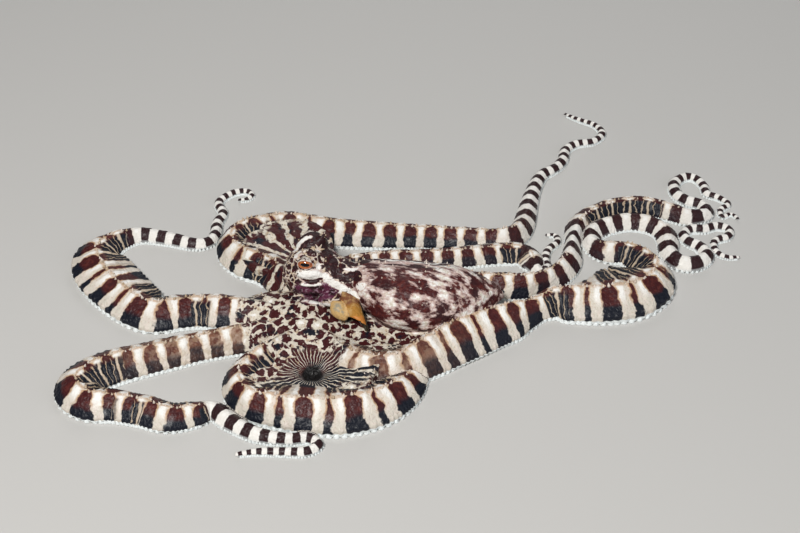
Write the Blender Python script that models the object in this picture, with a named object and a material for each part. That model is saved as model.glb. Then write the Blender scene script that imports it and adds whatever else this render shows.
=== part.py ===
"""Mimic octopus, life size, resting with its arms spread in loose loops. Metres, +Z up.

The floor is z = 0 and the head looks along -X. Every size below is in millimetres.
"""
import math

import bmesh
import bpy
import numpy as np
from mathutils import Vector

MM = 0.001
GAP = 0.3
ROOM = 0.5
CENTRE_SHIFT = (-4.31, -0.8)

# Each arm is a route of rows: x, y, crest height, width to the left and to the right of the crest.
# Left and right are as seen from the root. "joins" are the row numbers where the arm is divided.
ARMS = {
    "arm_l1": {"joins": (3, 6, 9, 13), "rows": [
        (-39, -28, 7, 4, 4), (-47, -27, 8, 7, 6), (-56, -25, 8, 8, 7), (-65, -24, 7.5, 8, 7),
        (-73, -25, 7.5, 8, 7.5), (-80, -26, 7.5, 8.5, 9), (-87, -22, 7.5, 8.5, 10),
        (-94, -14, 7, 9.5, 10.5), (-100, -5, 6.5, 10, 10), (-103, 4, 6, 8, 8), (-99, 11, 5.5, 4.5, 6),
        (-90, 15, 4.5, 3.5, 3.5), (-79, 13, 4, 3, 3), (-71, 10.5, 3.5, 2.6, 2.6),
        (-66.2, 11.5, 3.2, 2.3, 2.3), (-64, 16, 3, 2.1, 2.1), (-64, 22, 2.8, 2, 2),
        (-62.5, 28, 2.6, 1.8, 1.8), (-64.5, 34, 2.4, 1.6, 1.6), (-61, 39, 2.3, 1.5, 1.5),
        (-56, 41, 2.1, 1.3, 1.3), (-53, 39, 1.9, 1.1, 1.1), (-54.5, 36.5, 1.6, 0.9, 0.9),
        (-58, 36, 1.2, 0.7, 0.7)]},
    "arm_l2": {"joins": (3, 6, 9, 13, 16), "rows": [
        (-38, -35, 7, 4, 4), (-46, -37.5, 8, 6, 6), (-55, -39.5, 7.5, 6, 6.5), (-64, -42, 7, 6, 6.5),
        (-73, -45, 7, 6.5, 7), (-82, -48, 7, 7, 7), (-91, -51, 7, 8, 7), (-98, -56, 7, 8, 7),
        (-100, -62, 7, 8, 7), (-95, -67, 7, 8, 7), (-87, -68, 6.5, 6, 6.5), (-78, -70, 6.5, 5.5, 6.5),
        (-70, -73, 6, 5.5, 6), (-62, -71.5, 5, 5, 5), (-57, -70, 4, 3.6, 4), (-51, -75, 3.8, 3, 3.4),
        (-43, -80, 3.6, 2.6, 3), (-34, -82, 3.3, 2.2, 2.2), (-28, -81.5, 3, 2, 2),
        (-24.5, -84, 2.8, 1.8, 1.8), (-28, -87, 2.6, 1.8, 1.8), (-36, -87, 2.4, 1.6, 1.6),
        (-43, -87, 2, 1.3, 1.3), (-49, -88, 1.4, 0.8, 0.8)]},
    "arm_l3": {"joins": (3, 5, 8, 11), "rows": [
        (-33, -39, 7, 4, 4), (-38, -44, 8, 7, 5.5), (-44, -49, 8.5, 10, 5.5),
        (-48.5, -55, 8.5, 12, 5.5), (-49.5, -62, 8.5, 12, 5.5), (-45.5, -68, 8.5, 12, 5.5),
        (-37, -71, 9, 12, 6.5), (-27, -72, 9, 12, 8), (-17, -71.5, 9, 11, 9), (-7, -68, 8.5, 9, 8.5),
        (0, -61.5, 7, 7, 7.5), (4.5, -54, 4.5, 5, 5), (7.5, -46.5, 4.3, 4, 4),
        (8.5, -39, 3.8, 3.2, 3.2), (7, -33.5, 3.2, 2.6, 2.6), (2, -31.5, 2.8, 2.2, 2.2),
        (-4, -32.5, 2.4, 1.8, 1.8), (-9, -35, 1.4, 0.8, 0.8)]},
    "arm_l4": {"joins": (3, 7, 10, 13, 16, 19, 22, 25, 29), "rows": [
        (-24, -39, 7, 4, 4), (-21, -45, 8, 7.5, 6), (-15, -50, 8.5, 10, 7.5), (-8, -53, 8.5, 11, 7.5),
        (0, -52, 9, 9, 8), (8, -46, 10, 6, 9.5), (15, -40.5, 10.5, 5, 10.5), (22, -36, 10, 5, 10.5),
        (29, -32, 9.5, 5, 10), (36, -28.5, 9, 5, 9), (41, -26.5, 8, 5, 6), (45, -24, 7.5, 5, 5),
        (50, -21, 8.5, 5.5, 8), (58, -20.5, 9, 8, 9), (67, -20.5, 9, 14, 9.5), (76, -18.5, 9, 17, 9.5),
        (83, -13, 8.5, 15, 8.5), (86, -6, 8, 11, 5.6), (83, 1, 7, 7, 3.4), (77, 5.5, 6, 6, 4.2),
        (70, 6.5, 5.5, 5, 3.8), (66, 10, 5, 3.2, 4), (66.5, 16, 5, 3.2, 4), (72.5, 20.5, 5, 3.4, 4),
        (80, 22.5, 5, 3.6, 4), (87, 21, 5, 3.8, 4), (91.5, 17, 4.8, 3.8, 4), (92.3, 11, 4.6, 3.8, 3.6),
        (92, 5.5, 4.5, 3.4, 3.4), (95, 0.5, 4.5, 3.4, 3.6), (100, 0, 4.2, 3.2, 3.4),
        (104.5, 4, 3.8, 2.6, 2.8), (103, 9, 3.4, 2.2, 2.4), (99.5, 12, 3.2, 2, 2),
        (98.5, 16, 3, 1.9, 1.9), (101.5, 19, 2.8, 1.9, 1.9), (106, 19, 2.8, 1.9, 1.9),
        (110.5, 20.8, 2.6, 1.8, 1.8), (114.5, 19, 2.4, 1.7, 1.7), (113.5, 15, 2.3, 1.6, 1.6),
        (109.3, 13, 2.2, 1.5, 1.5), (108, 9.5, 2, 1.3, 1.3), (109, 6, 1.8, 1.2, 1.2),
        (112, 4, 1.5, 1, 1), (116, 4, 1.2, 0.7, 0.7)]},
    "arm_r1": {"joins": (3, 6, 9, 13, 17, 22), "rows": [
        (-36, -20, 7, 4, 4), (-38.5, -12, 8.5, 5.5, 5.5), (-44, -4.5, 8.5, 6.5, 8),
        (-51, -0.5, 8, 7, 10), (-56, 4, 7.5, 6, 11), (-57.5, 10, 7.5, 5, 12), (-54, 16, 7.5, 5.5, 13),
        (-46, 19.5, 7, 6, 14), (-38, 20.5, 7, 6, 13), (-28, 18.5, 6.5, 6, 9), (-17, 16.5, 6.5, 6, 7.5),
        (-5, 15, 6.5, 6, 6.5), (7, 14.5, 6, 5.5, 6), (19, 13.5, 6, 5, 5.5), (29, 12, 6.5, 4.8, 4.8),
        (36, 11, 8, 4.5, 4.5), (41, 15.5, 7, 4, 4), (43.5, 22, 5, 3.8, 3.8), (45, 29, 4.4, 3.4, 3.4),
        (46.5, 36, 4, 3, 3), (48.5, 43, 3.6, 2.6, 2.6), (51.5, 50, 3.3, 2.4, 2.4),
        (57, 55, 3, 2.2, 2.2), (60, 60, 2.9, 2, 2), (61.5, 66, 2.7, 1.9, 1.9), (66, 70, 2.5, 1.8, 1.8),
        (72, 71.5, 2.3, 1.6, 1.6), (76, 76.5, 2.2, 1.5, 1.5), (74, 82, 2, 1.3, 1.3),
        (68, 86, 1.7, 1.1, 1.1), (63, 90, 1.2, 0.7, 0.7)]},
    "arm_r2": {"joins": (3, 6, 12), "rows": [
        (-28, -18.5, 7, 4, 4), (-24.5, -9, 7, 4.5, 4.5), (-17, -2.5, 6.5, 4.5, 4.5),
        (-5, 0.5, 6, 5, 4.5), (7, 1, 6, 5.2, 4.5), (19, 2.5, 5.5, 5, 4.5), (29, 4.5, 5, 4.5, 5),
        (37, 6.2, 4.5, 4.2, 6), (43, 5, 4.5, 4, 6.5), (45.5, 0, 4.2, 3.6, 4.5), (47, -3.8, 3, 2, 2),
        (49.8, -2, 2.4, 1.6, 1.6), (49.5, 3, 2.2, 1.5, 1.5), (51, 8, 2.1, 1.4, 1.4),
        (54.3, 12, 2, 1.3, 1.3), (53.8, 15.8, 1.6, 1, 1), (50.5, 16, 1.2, 0.7, 0.7)]},
    "arm_r3": {"joins": (3, 6, 9, 12, 15, 18, 22), "rows": [
        (-21.5, -20, 7, 4, 4), (-13, -12.5, 6, 4, 4), (-3, -9.5, 5.5, 3.6, 4), (7, -9, 5.5, 3.6, 4),
        (17, -9.5, 6, 4.5, 4.5), (26, -11, 6.5, 5, 5), (34, -13, 7.5, 6, 5), (41, -13.5, 8, 6, 4.5),
        (47, -11.5, 7.5, 5, 4), (52.5, -6.5, 7, 3.4, 5), (57, 1, 6.5, 3, 5), (59.5, 10, 6.5, 3, 2.8),
        (63.5, 20, 6.5, 5.5, 3.2), (73, 28, 6, 5.5, 3.4), (84, 30.5, 6, 5.5, 3.6),
        (93, 28.5, 5.5, 5, 3.8), (101, 25, 5, 3.8, 3.6), (107.5, 27, 4, 3, 3), (107, 32, 3.6, 2.6, 2.6),
        (102, 35, 3.4, 2.4, 2.4), (99, 39, 3.2, 2.3, 2.3), (99, 45, 3, 2.1, 2.1),
        (103, 49, 2.8, 1.9, 1.9), (107, 48.5, 2.6, 1.8, 1.8), (109.5, 44, 2.4, 1.7, 1.7),
        (110, 39.5, 2.3, 1.6, 1.6), (114, 37, 2.1, 1.4, 1.4), (116.5, 33.5, 2, 1.3, 1.3),
        (113.5, 30.2, 1.8, 1.2, 1.2), (113.5, 26.5, 1.6, 1, 1), (117, 27.8, 1.4, 0.9, 0.9),
        (119, 25, 1.2, 0.7, 0.7)]},
    "arm_r4": {"joins": (3,), "rows": [
        (-19, -26, 7, 4, 4), (-11, -22.5, 5.5, 4.5, 4.5), (-2, -20.2, 4.5, 4, 4), (8, -19, 4, 3.6, 3.6),
        (17, -18.3, 3.4, 3, 3), (23, -19.5, 3, 2.4, 2.4), (25, -22.5, 2.8, 2, 2),
        (21.5, -25, 2.4, 1.8, 1.8), (14, -26, 2, 1.5, 1.5), (6, -26.5, 1.4, 0.8, 0.8)]},
}
# What lies lower comes first: a later arm is cut clear of every earlier one.
CLEARING_ORDER = ("arm_l2", "arm_l3", "arm_l1", "arm_r2", "arm_r4", "arm_r3", "arm_l4", "arm_r1")

FLANK_STATIONS = (0.0, 0.38, 0.72, 1.0)
THIN_STATIONS = (0.0, 0.6, 1.0)
THIN_WIDTH = 3.0
UNDERSIDE_REACH = 0.8

WEB_CENTRE = (-29.5, -29.5)
WEB_HEIGHT = 9.0
# Reach of the web's edge from its centre, by direction in degrees.
WEB_REACH = [
    (0, 13), (45, 13), (90, 14), (135, 20), (160, 25), (185, 22), (210, 20), (235, 18), (262, 30),
    (285, 32),
    (305, 30), (325, 32), (345, 22)]
WEB_EDGE = 2.2
WEB_UNDERSIDE = 1.2

# Body sections along X: x, y and z of the centre, half width, half height.
MANTLE_SECTIONS = [
    (-15, -22.0, 12.2, 6.4, 6.0), (-12, -23.4, 11.7, 9.0, 7.6), (-6, -26.0, 11.2, 12.0, 9.2),
    (2, -27.6, 10.8, 13.4, 9.7), (10, -27.7, 10.5, 13.0, 9.4), (17, -26.9, 10.4, 11.4, 8.8),
    (23, -26.0, 9.6, 9.0, 7.4), (28, -24.9, 8.8, 5.8, 5.2), (31.5, -24.0, 8.2, 3.0, 2.8),
    (33.5, -23.4, 7.8, 1.0, 1.0)]
HEAD_SECTIONS = [
    (-38.2, -18.5, 12.5, 1.4, 1.4), (-37.2, -18.4, 12.6, 4.2, 4.0), (-34.5, -18.2, 13.0, 7.4, 6.8),
    (-30, -18.0, 13.4, 8.8, 7.8), (-25, -18.4, 13.4, 8.6, 7.6), (-20, -19.8, 12.9, 7.2, 6.6),
    (-15.3, -21.8, 12.4, 6.3, 5.9)]
EYE_RADIUS = 2.7
EYE_PROUD = 0.6
LID_RADII = (3.0, 0.75)
HORN_RADII = (2.2, 1.3, 0.3)
# Each eye: centre, the way it looks, radius of the swelling behind it, root and tip of its horn.
EYES = {
    "eye_left": ((-30.1, -22.6, 20.2), (-0.12, -0.86, 0.50), 4.7,
                 (-29.0, -20.4, 22.0), (-27.6, -20.2, 25.0)),
    "eye_right": ((-28.9, -9.2, 19.6), (-0.10, 0.86, 0.50), 5.6,
                  (-26.0, -13.0, 21.8), (-24.3, -12.9, 24.8)),
}
# The funnel: middles of its root and mouth, the way its slanting mouth faces, and radii.
FUNNEL_ROOT = (-16.2, -29.2, 11.2)
FUNNEL_MOUTH = (-14.2, -37.4, 7.6)
FUNNEL_FACING = (-0.45, -0.82, -0.36)
FUNNEL_RADII = (3.8, 4.5, 4.7)
FUNNEL_BORE = (2.2, 3.6)
# Where the bore begins and ends, as shares of the way from root to mouth.
FUNNEL_BORE_PART = (0.45, 1.10)
# The lobe at its side: both ends and the radii between them.
LOBE_ENDS = ((-21.6, -32.4, 12.4), (-17.0, -37.6, 9.6))
LOBE_RADII = (0.8, 2.1, 2.7, 2.5, 1.9, 0.7)

SUCKER_SIDES = 5
SUCKER_PITCH = 6.6
SUCKER_OFFSET = 0.27


def clear_scene():
    for item in list(bpy.data.objects):
        bpy.data.objects.remove(item)


def new_collection(name):
    collection = bpy.data.collections.new(name)
    bpy.context.scene.collection.children.link(collection)
    return collection


def material(name, colour, roughness):
    made = bpy.data.materials.new(name)
    made.use_nodes = True
    shader = made.node_tree.nodes["Principled BSDF"]
    shader.inputs["Base Color"].default_value = (*colour, 1.0)
    shader.inputs["Roughness"].default_value = roughness
    shader.inputs["Metallic"].default_value = 0.0
    return made


def mesh_object(name, points, faces, collection):
    """A closed mesh from points in millimetres, with its faces turned outwards."""
    mesh = bpy.data.meshes.new(name)
    shift = np.array([*CENTRE_SHIFT, 0.0])
    mesh.from_pydata([tuple((np.asarray(p) + shift) * MM) for p in points], [], faces)
    shape = bmesh.new()
    shape.from_mesh(mesh)
    bmesh.ops.recalc_face_normals(shape, faces=shape.faces)
    shape.to_mesh(mesh)
    shape.free()
    made = bpy.data.objects.new(name, mesh)
    collection.objects.link(made)
    return made


def loft_faces(rings, sides):
    """Quads between rings of the same number of points, with a cap at each end."""
    faces = []
    for ring in range(rings - 1):
        for side in range(sides):
            a = ring * sides + side
            b = ring * sides + (side + 1) % sides
            faces.append((a, b, b + sides, a + sides))
    faces.append(tuple(range(sides)))
    faces.append(tuple((rings - 1) * sides + side for side in range(sides)))
    return faces


def spline(rows, step):
    """A smooth curve through the rows, at every `step` of a row; the first column is the row number."""
    table = np.asarray(rows, float)
    table = np.vstack([2 * table[0] - table[1], table, 2 * table[-1] - table[-2]])
    last = len(rows) - 1
    out = []
    for u in np.linspace(0.0, last, round(last / step) + 1):
        i = min(int(u), last - 1)
        t = u - i
        a, b, c, d = table[i:i + 4]
        bend = (2 * a - 5 * b + 4 * c - d) * t ** 2 + (3 * b - a - 3 * c + d) * t ** 3
        value = 0.5 * (2 * b + (c - a) * t + bend)
        out.append(np.concatenate([[u], value]))
    return np.array(out)


def unit(vectors):
    return vectors / np.linalg.norm(vectors, axis=-1, keepdims=True)


class Arm:
    """The smooth route of one arm, read by its length along the route in millimetres."""

    def __init__(self, rows):
        fine = spline(rows, 0.05)
        self.row = fine[:, 0]
        self.centre = fine[:, 1:3]
        steps = np.linalg.norm(np.diff(self.centre, axis=0), axis=1)
        self.length = np.concatenate([[0.0], np.cumsum(steps)])
        self.tangent = unit(np.gradient(self.centre, axis=0))
        self.normal = np.stack([-self.tangent[:, 1], self.tangent[:, 0]], 1)
        self.height = fine[:, 3]
        self.left = self.inside_bend(fine[:, 4], 1.0)
        self.right = self.inside_bend(fine[:, 5], -1.0)

    def inside_bend(self, width, side):
        """The width, held back on the inner side of a bend so that the edge never doubles back."""
        width = np.array(width)
        for _ in range(60):
            edge = self.centre + self.normal * (side * width)[:, None]
            forward = (np.diff(edge, axis=0) * self.tangent[:-1]).sum(1)
            tight = forward < 0.12 * np.diff(self.length)
            if not tight.any():
                break
            held = np.zeros(len(width), bool)
            held[:-1] |= tight
            held[1:] |= tight
            width[held] *= 0.97
        smooth = np.array(width)
        for _ in range(30):
            smooth[1:-1] = np.minimum(width[1:-1], (smooth[:-2] + smooth[2:]) / 2)
        return smooth

    def at(self, column, length):
        if column.ndim == 1:
            return np.interp(length, self.length, column)
        values = [np.interp(length, self.length, column[:, k]) for k in range(column.shape[1])]
        return np.stack(values, -1)

    def length_at_row(self, row):
        return float(np.interp(row, self.row, self.length))

    def section(self, length, stations, grow=0.0):
        """One cross-section: crest, left flank, flat underside, right flank."""
        centre = self.at(self.centre, length) + self.tangent[0] * min(0.0, length)
        centre = centre + self.tangent[-1] * max(0.0, length - self.length[-1])
        normal = unit(self.at(self.normal, length))
        left = float(self.at(self.left, length)) + grow
        right = float(self.at(self.right, length)) + grow
        height = float(self.at(self.height, length)) + grow
        mean = (left + right) / 2
        under = underside(mean) - grow
        edge = under + 0.12 * mean + 0.3 + 2 * grow
        power = min(2.1, max(1.25, 2.3 - 0.13 * mean))
        points = []
        for station in stations:
            rise = edge + (height - edge) * (1 - station ** power)
            points.append((*(centre + normal * left * station), rise))
        points.append((*(centre + normal * (left * UNDERSIDE_REACH + 2 * grow)), under))
        points.append((*(centre - normal * (right * UNDERSIDE_REACH + 2 * grow)), under))
        for station in reversed(stations[1:]):
            rise = edge + (height - edge) * (1 - station ** power)
            points.append((*(centre - normal * right * station), rise))
        return points


def underside(width):
    """Height of an arm's flat underside over the floor: thick arms stand on taller suckers."""
    return 0.45 + 0.1 * width


def arm_solid(name, arm, start, end, collection, grow=0.0):
    """The stretch of an arm between two lengths, as a closed loft."""
    mean = float(arm.at(arm.left, start) + arm.at(arm.right, start)) / 2
    stations = FLANK_STATIONS if mean > THIN_WIDTH else THIN_STATIONS
    lengths = [start]
    while lengths[-1] < end:
        width = float(arm.at(arm.left, lengths[-1]) + arm.at(arm.right, lengths[-1])) / 2
        lengths.append(lengths[-1] + max(2.4, 0.7 * width))
    lengths = start + (np.array(lengths) - start) * (end - start) / (lengths[-1] - start)
    if grow > 0.0:
        lengths[0] = start - 1.5 * GAP
        lengths[-1] = end + 1.5 * GAP
    points = []
    for length in lengths:
        points += arm.section(length, stations, grow)
    sides = 2 * len(stations) + 1
    return mesh_object(name, points, loft_faces(len(lengths), sides), collection)


def sucker(name, x, y, radius, top, collection):
    """A cup that widens from its root to a flat rim on the floor."""
    shape = bmesh.new()
    bmesh.ops.create_cone(shape, cap_ends=True, segments=SUCKER_SIDES, radius1=radius * MM,
                          radius2=radius * 0.72 * MM, depth=top * MM)
    mesh = bpy.data.meshes.new(name)
    shape.to_mesh(mesh)
    shape.free()
    made = bpy.data.objects.new(name, mesh)
    made.location = Vector((x + CENTRE_SHIFT[0], y + CENTRE_SHIFT[1], top / 2)) * MM
    collection.objects.link(made)
    return made


def arm_suckers(arm, start, end, collection):
    """Two staggered rows of suckers under one stretch of an arm."""
    length = start + 1.2
    side = 1
    count = 0
    while length < end - 1.0:
        left = float(arm.at(arm.left, length))
        right = float(arm.at(arm.right, length))
        mean = min((left + right) / 2, 9.0)
        radius = 0.15 * mean + 0.4
        offset = SUCKER_OFFSET * (left if side > 0 else right)
        place = arm.at(arm.centre, length) + unit(arm.at(arm.normal, length)) * side * offset
        if length + radius < end and length - radius > start:
            sucker(f"cup_{count}", *place, radius, underside(mean) + 0.5, collection)
            count += 1
        length += SUCKER_PITCH * radius
        side = -side


def evaluated_mesh(item):
    graph = bpy.context.evaluated_depsgraph_get()
    return bpy.data.meshes.new_from_object(item.evaluated_get(graph))


def is_closed(mesh):
    """Whether every edge of a mesh lies between exactly two faces."""
    shape = bmesh.new()
    shape.from_mesh(mesh)
    closed = all(len(edge.link_faces) == 2 for edge in shape.edges)
    shape.free()
    return closed


def combine(item, others, operation):
    """One applied Boolean with a whole collection; by the second solver where the first leaves a hole."""
    modifier = item.modifiers.new("Combine", "BOOLEAN")
    modifier.operation = operation
    modifier.operand_type = "COLLECTION"
    modifier.collection = others
    for solver in ("EXACT", "MANIFOLD"):
        modifier.solver = solver
        mesh = evaluated_mesh(item)
        if is_closed(mesh):
            break
    item.modifiers.clear()
    old = item.data
    item.data = mesh
    bpy.data.meshes.remove(old)
    keep_largest(item)


def empty_collection(collection):
    for item in list(collection.objects):
        bpy.data.objects.remove(item)


def keep_largest(item):
    """Drop every closed surface of an object but the largest."""
    shape = bmesh.new()
    shape.from_mesh(item.data)
    seen = set()
    surfaces = []
    for first in shape.faces:
        if first in seen:
            continue
        seen.add(first)
        surface = [first]
        for face in surface:
            for edge in face.edges:
                for other in edge.link_faces:
                    if other not in seen:
                        seen.add(other)
                        surface.append(other)
        surfaces.append(surface)
    surfaces.sort(key=lambda surface: sum(face.calc_area() for face in surface))
    scraps = [face for surface in surfaces[:-1] for face in surface]
    bmesh.ops.delete(shape, geom=scraps, context="FACES")
    shape.to_mesh(item.data)
    shape.free()


def boxes_meet(a, b):
    corners = [[item.matrix_world @ Vector(corner) for corner in item.bound_box] for item in (a, b)]
    for axis in range(3):
        low = max(min(corner[axis] for corner in box) for box in corners)
        high = min(max(corner[axis] for corner in box) for box in corners)
        if low > high:
            return False
    return True


def cut_clear(item, cutters, stage):
    """Cut an object clear of every cutter whose box it meets."""
    near = [cutter for cutter in cutters if boxes_meet(item, cutter)]
    if not near:
        return
    for cutter in near:
        stage.objects.link(cutter)
    combine(item, stage, "DIFFERENCE")
    for cutter in near:
        stage.objects.unlink(cutter)


def grown(item, amount, collection):
    """A copy of an object pushed outwards along its normals."""
    mesh = item.data.copy()
    shape = bmesh.new()
    shape.from_mesh(mesh)
    shape.normal_update()
    moves = [(vert, vert.normal * amount * MM) for vert in shape.verts]
    for vert, move in moves:
        vert.co += move
    shape.to_mesh(mesh)
    shape.free()
    made = bpy.data.objects.new(item.name + "_room", mesh)
    collection.objects.link(made)
    return made


def section_loft(name, sections, sides, step, collection):
    """A body through upright elliptical sections along X, read at every `step` of a row."""
    smooth = spline(sections, step)
    points = []
    for _, x, y, z, wide, high in smooth:
        for side in range(sides):
            angle = math.tau * side / sides
            points.append((x, y + wide * math.cos(angle), max(0.4, z + high * math.sin(angle))))
    return mesh_object(name, points, loft_faces(len(smooth), sides), collection)


def web_solid(name, collection, grow=0.0):
    """The skin between the arm roots: a low dome whose edge reaches further between some arms."""
    spokes = 36
    rings = (0.3, 0.55, 0.78, 1.0)
    turns = [angle for angle, _ in WEB_REACH] + [360 + WEB_REACH[0][0]]
    reaches = [reach for _, reach in WEB_REACH] + [WEB_REACH[0][1]]
    points = [(*WEB_CENTRE, WEB_HEIGHT + grow)]
    for ring in rings:
        for spoke in range(spokes):
            angle = math.tau * spoke / spokes
            reach = (np.interp(math.degrees(angle), turns, reaches) + grow) * ring
            rise = WEB_EDGE + (WEB_HEIGHT - WEB_EDGE) * (1 - ring ** 2) + grow
            east = WEB_CENTRE[0] + reach * math.cos(angle)
            north = WEB_CENTRE[1] + reach * math.sin(angle)
            points.append((east, north, rise))
    last = len(points) - spokes
    for x, y, _ in points[last:]:
        points.append((x, y, WEB_UNDERSIDE - grow))
    faces = [(0, 1 + spoke, 1 + (spoke + 1) % spokes) for spoke in range(spokes)]
    for ring in range(len(rings)):
        base = 1 + ring * spokes
        for spoke in range(spokes):
            a = base + spoke
            b = base + (spoke + 1) % spokes
            faces.append((a, b, b + spokes, a + spokes))
    faces.append(tuple(range(last + spokes, last + 2 * spokes)))
    return mesh_object(name, points, faces, collection)


def ball(name, centre, radii, rings, sides, collection):
    shape = bmesh.new()
    bmesh.ops.create_uvsphere(shape, u_segments=sides, v_segments=rings, radius=1.0)
    for vert in shape.verts:
        vert.co = Vector((vert.co.x * radii[0], vert.co.y * radii[1], vert.co.z * radii[2])) * MM
        vert.co += Vector((centre[0] + CENTRE_SHIFT[0], centre[1] + CENTRE_SHIFT[1], centre[2])) * MM
    mesh = bpy.data.meshes.new(name)
    shape.to_mesh(mesh)
    shape.free()
    made = bpy.data.objects.new(name, mesh)
    collection.objects.link(made)
    return made


def ring(name, centre, axis, radii, turns, sides, collection):
    """A round ring about an axis."""
    across = unit(np.cross(axis, (0.0, 0.0, 1.0)))
    upward = np.cross(across, axis)
    points = []
    faces = []
    for turn in range(turns):
        angle = math.tau * turn / turns
        outward = across * math.cos(angle) + upward * math.sin(angle)
        for side in range(sides):
            tilt = math.tau * side / sides
            reach = radii[0] + radii[1] * math.cos(tilt)
            points.append(centre + outward * reach + axis * radii[1] * math.sin(tilt))
            a = turn * sides + side
            b = turn * sides + (side + 1) % sides
            step = sides if turn < turns - 1 else sides - turns * sides
            faces.append((a, b, b + step, a + step))
    return mesh_object(name, points, faces, collection)


def spindle(name, start, end, radii, sides, collection, facing=None):
    """A straight tapered piece between two points, closed at both ends; its rings may slant."""
    start = np.asarray(start, float)
    end = np.asarray(end, float)
    axis = unit(end - start if facing is None else np.asarray(facing))
    across = unit(np.cross(axis, (0.0, 0.0, 1.0)))
    upward = np.cross(across, axis)
    points = []
    for place, radius in zip(np.linspace(start, end, len(radii)), radii):
        for side in range(sides):
            angle = math.tau * side / sides
            points.append(place + across * radius * math.cos(angle) + upward * radius * math.sin(angle))
    return mesh_object(name, points, loft_faces(len(radii), sides), collection)


def head_solid(collection, stage):
    """The head with its two eye swellings, a horn over each eye and the sockets cut for the eyeballs."""
    head = section_loft("head", HEAD_SECTIONS, 16, 0.75, collection)
    for name, (centre, look, swelling, horn_root, horn_tip) in EYES.items():
        look = unit(np.asarray(look, float))
        back = np.asarray(centre) - look * (swelling - EYE_RADIUS + EYE_PROUD)
        ball(name + "_swelling", back, (swelling,) * 3, 8, 12, stage)
        ring(name + "_lid", np.asarray(centre) + look * 0.5, look, LID_RADII, 14, 6, stage)
        spindle(name + "_horn", horn_root, horn_tip, HORN_RADII, 6, stage)
    combine(head, stage, "UNION")
    empty_collection(stage)
    for name, (centre, *_) in EYES.items():
        ball(name + "_socket", centre, (EYE_RADIUS + GAP,) * 3, 8, 12, stage)
    combine(head, stage, "DIFFERENCE")
    empty_collection(stage)
    return head


def funnel_solid(collection, stage):
    """The siphon: a flared tube with an open mouth beside the head, and the soft lobe at its side."""
    sides = 12
    funnel = spindle("funnel", FUNNEL_ROOT, FUNNEL_MOUTH, FUNNEL_RADII, sides, collection, FUNNEL_FACING)
    spindle("funnel_lobe", *LOBE_ENDS, LOBE_RADII, 8, stage)
    combine(funnel, stage, "UNION")
    empty_collection(stage)
    root = np.asarray(FUNNEL_ROOT)
    way = np.asarray(FUNNEL_MOUTH) - root
    bore_ends = [root + way * share for share in FUNNEL_BORE_PART]
    spindle("funnel_bore", *bore_ends, FUNNEL_BORE, sides, stage, FUNNEL_FACING)
    combine(funnel, stage, "DIFFERENCE")
    empty_collection(stage)
    return funnel


def build_arms(model, stage, guides):
    """Every arm in its lengths, and the room that each arm needs in what lies over it."""
    rooms = []
    pieces = []
    for name in CLEARING_ORDER:
        arm = Arm(ARMS[name]["rows"])
        total = arm.length[-1]
        stops = [0.0] + [arm.length_at_row(row) for row in ARMS[name]["joins"]] + [total]
        own_rooms = []
        for number, (start, end) in enumerate(zip(stops[:-1], stops[1:]), 1):
            start += GAP / 2 if number > 1 else 0.0
            end -= GAP / 2 if number < len(stops) - 1 else 0.0
            own_rooms.append(arm_solid(f"{name}_{number}_room", arm, start, end, guides, ROOM))
            piece = arm_solid(f"{name}_{number}", arm, start, end, model)
            arm_suckers(arm, start, end, stage)
            combine(piece, stage, "UNION")
            empty_collection(stage)
            cut_clear(piece, rooms + own_rooms[:-2], stage)
            pieces.append(piece)
        rooms += own_rooms
    return pieces, rooms


def build():
    clear_scene()
    model = new_collection("mimic_octopus")
    guides = new_collection("guides")
    stage = new_collection("stage")
    pieces, rooms = build_arms(model, stage, guides)

    web = web_solid("web", model)
    cut_clear(web, rooms, stage)
    web_room = web_solid("web_room", guides, ROOM)

    head = head_solid(model, stage)
    head_room = grown(head, GAP, guides)
    cut_clear(head, rooms + [web_room], stage)

    mantle = section_loft("mantle", MANTLE_SECTIONS, 18, 0.75, model)
    mantle_room = grown(mantle, GAP, guides)
    cut_clear(mantle, rooms + [web_room, head_room], stage)

    funnel = funnel_solid(model, stage)
    cut_clear(funnel, rooms + [web_room, head_room, mantle_room], stage)

    eyes = [ball(name, centre, (EYE_RADIUS,) * 3, 8, 12, model) for name, (centre, *_) in EYES.items()]

    skin = material("banded_skin", (0.36, 0.22, 0.17), 0.42)
    for piece in pieces + [web, head, mantle]:
        piece.data.materials.clear()
        piece.data.materials.append(skin)
    funnel.data.materials.clear()
    funnel.data.materials.append(material("funnel_skin", (0.55, 0.38, 0.16), 0.4))
    for eye in eyes:
        eye.data.materials.append(material(eye.name + "_gloss", (0.55, 0.2, 0.06), 0.1))
    for room in list(guides.objects):
        bpy.data.objects.remove(room)
    for item in model.objects:
        item.data.shade_smooth()
        item.data.set_sharp_from_angle(angle=math.radians(40))


build()
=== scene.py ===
"""The looks of the mimic octopus: one banded skin over the animal, its eyes, the floor, lights and camera.

Shapes are worked out in millimetres in the model's frame: +Z up, head towards -X, floor at z = 0.
"""
import math

import bpy
import numpy as np
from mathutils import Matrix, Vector
from mathutils.bvhtree import BVHTree


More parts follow.
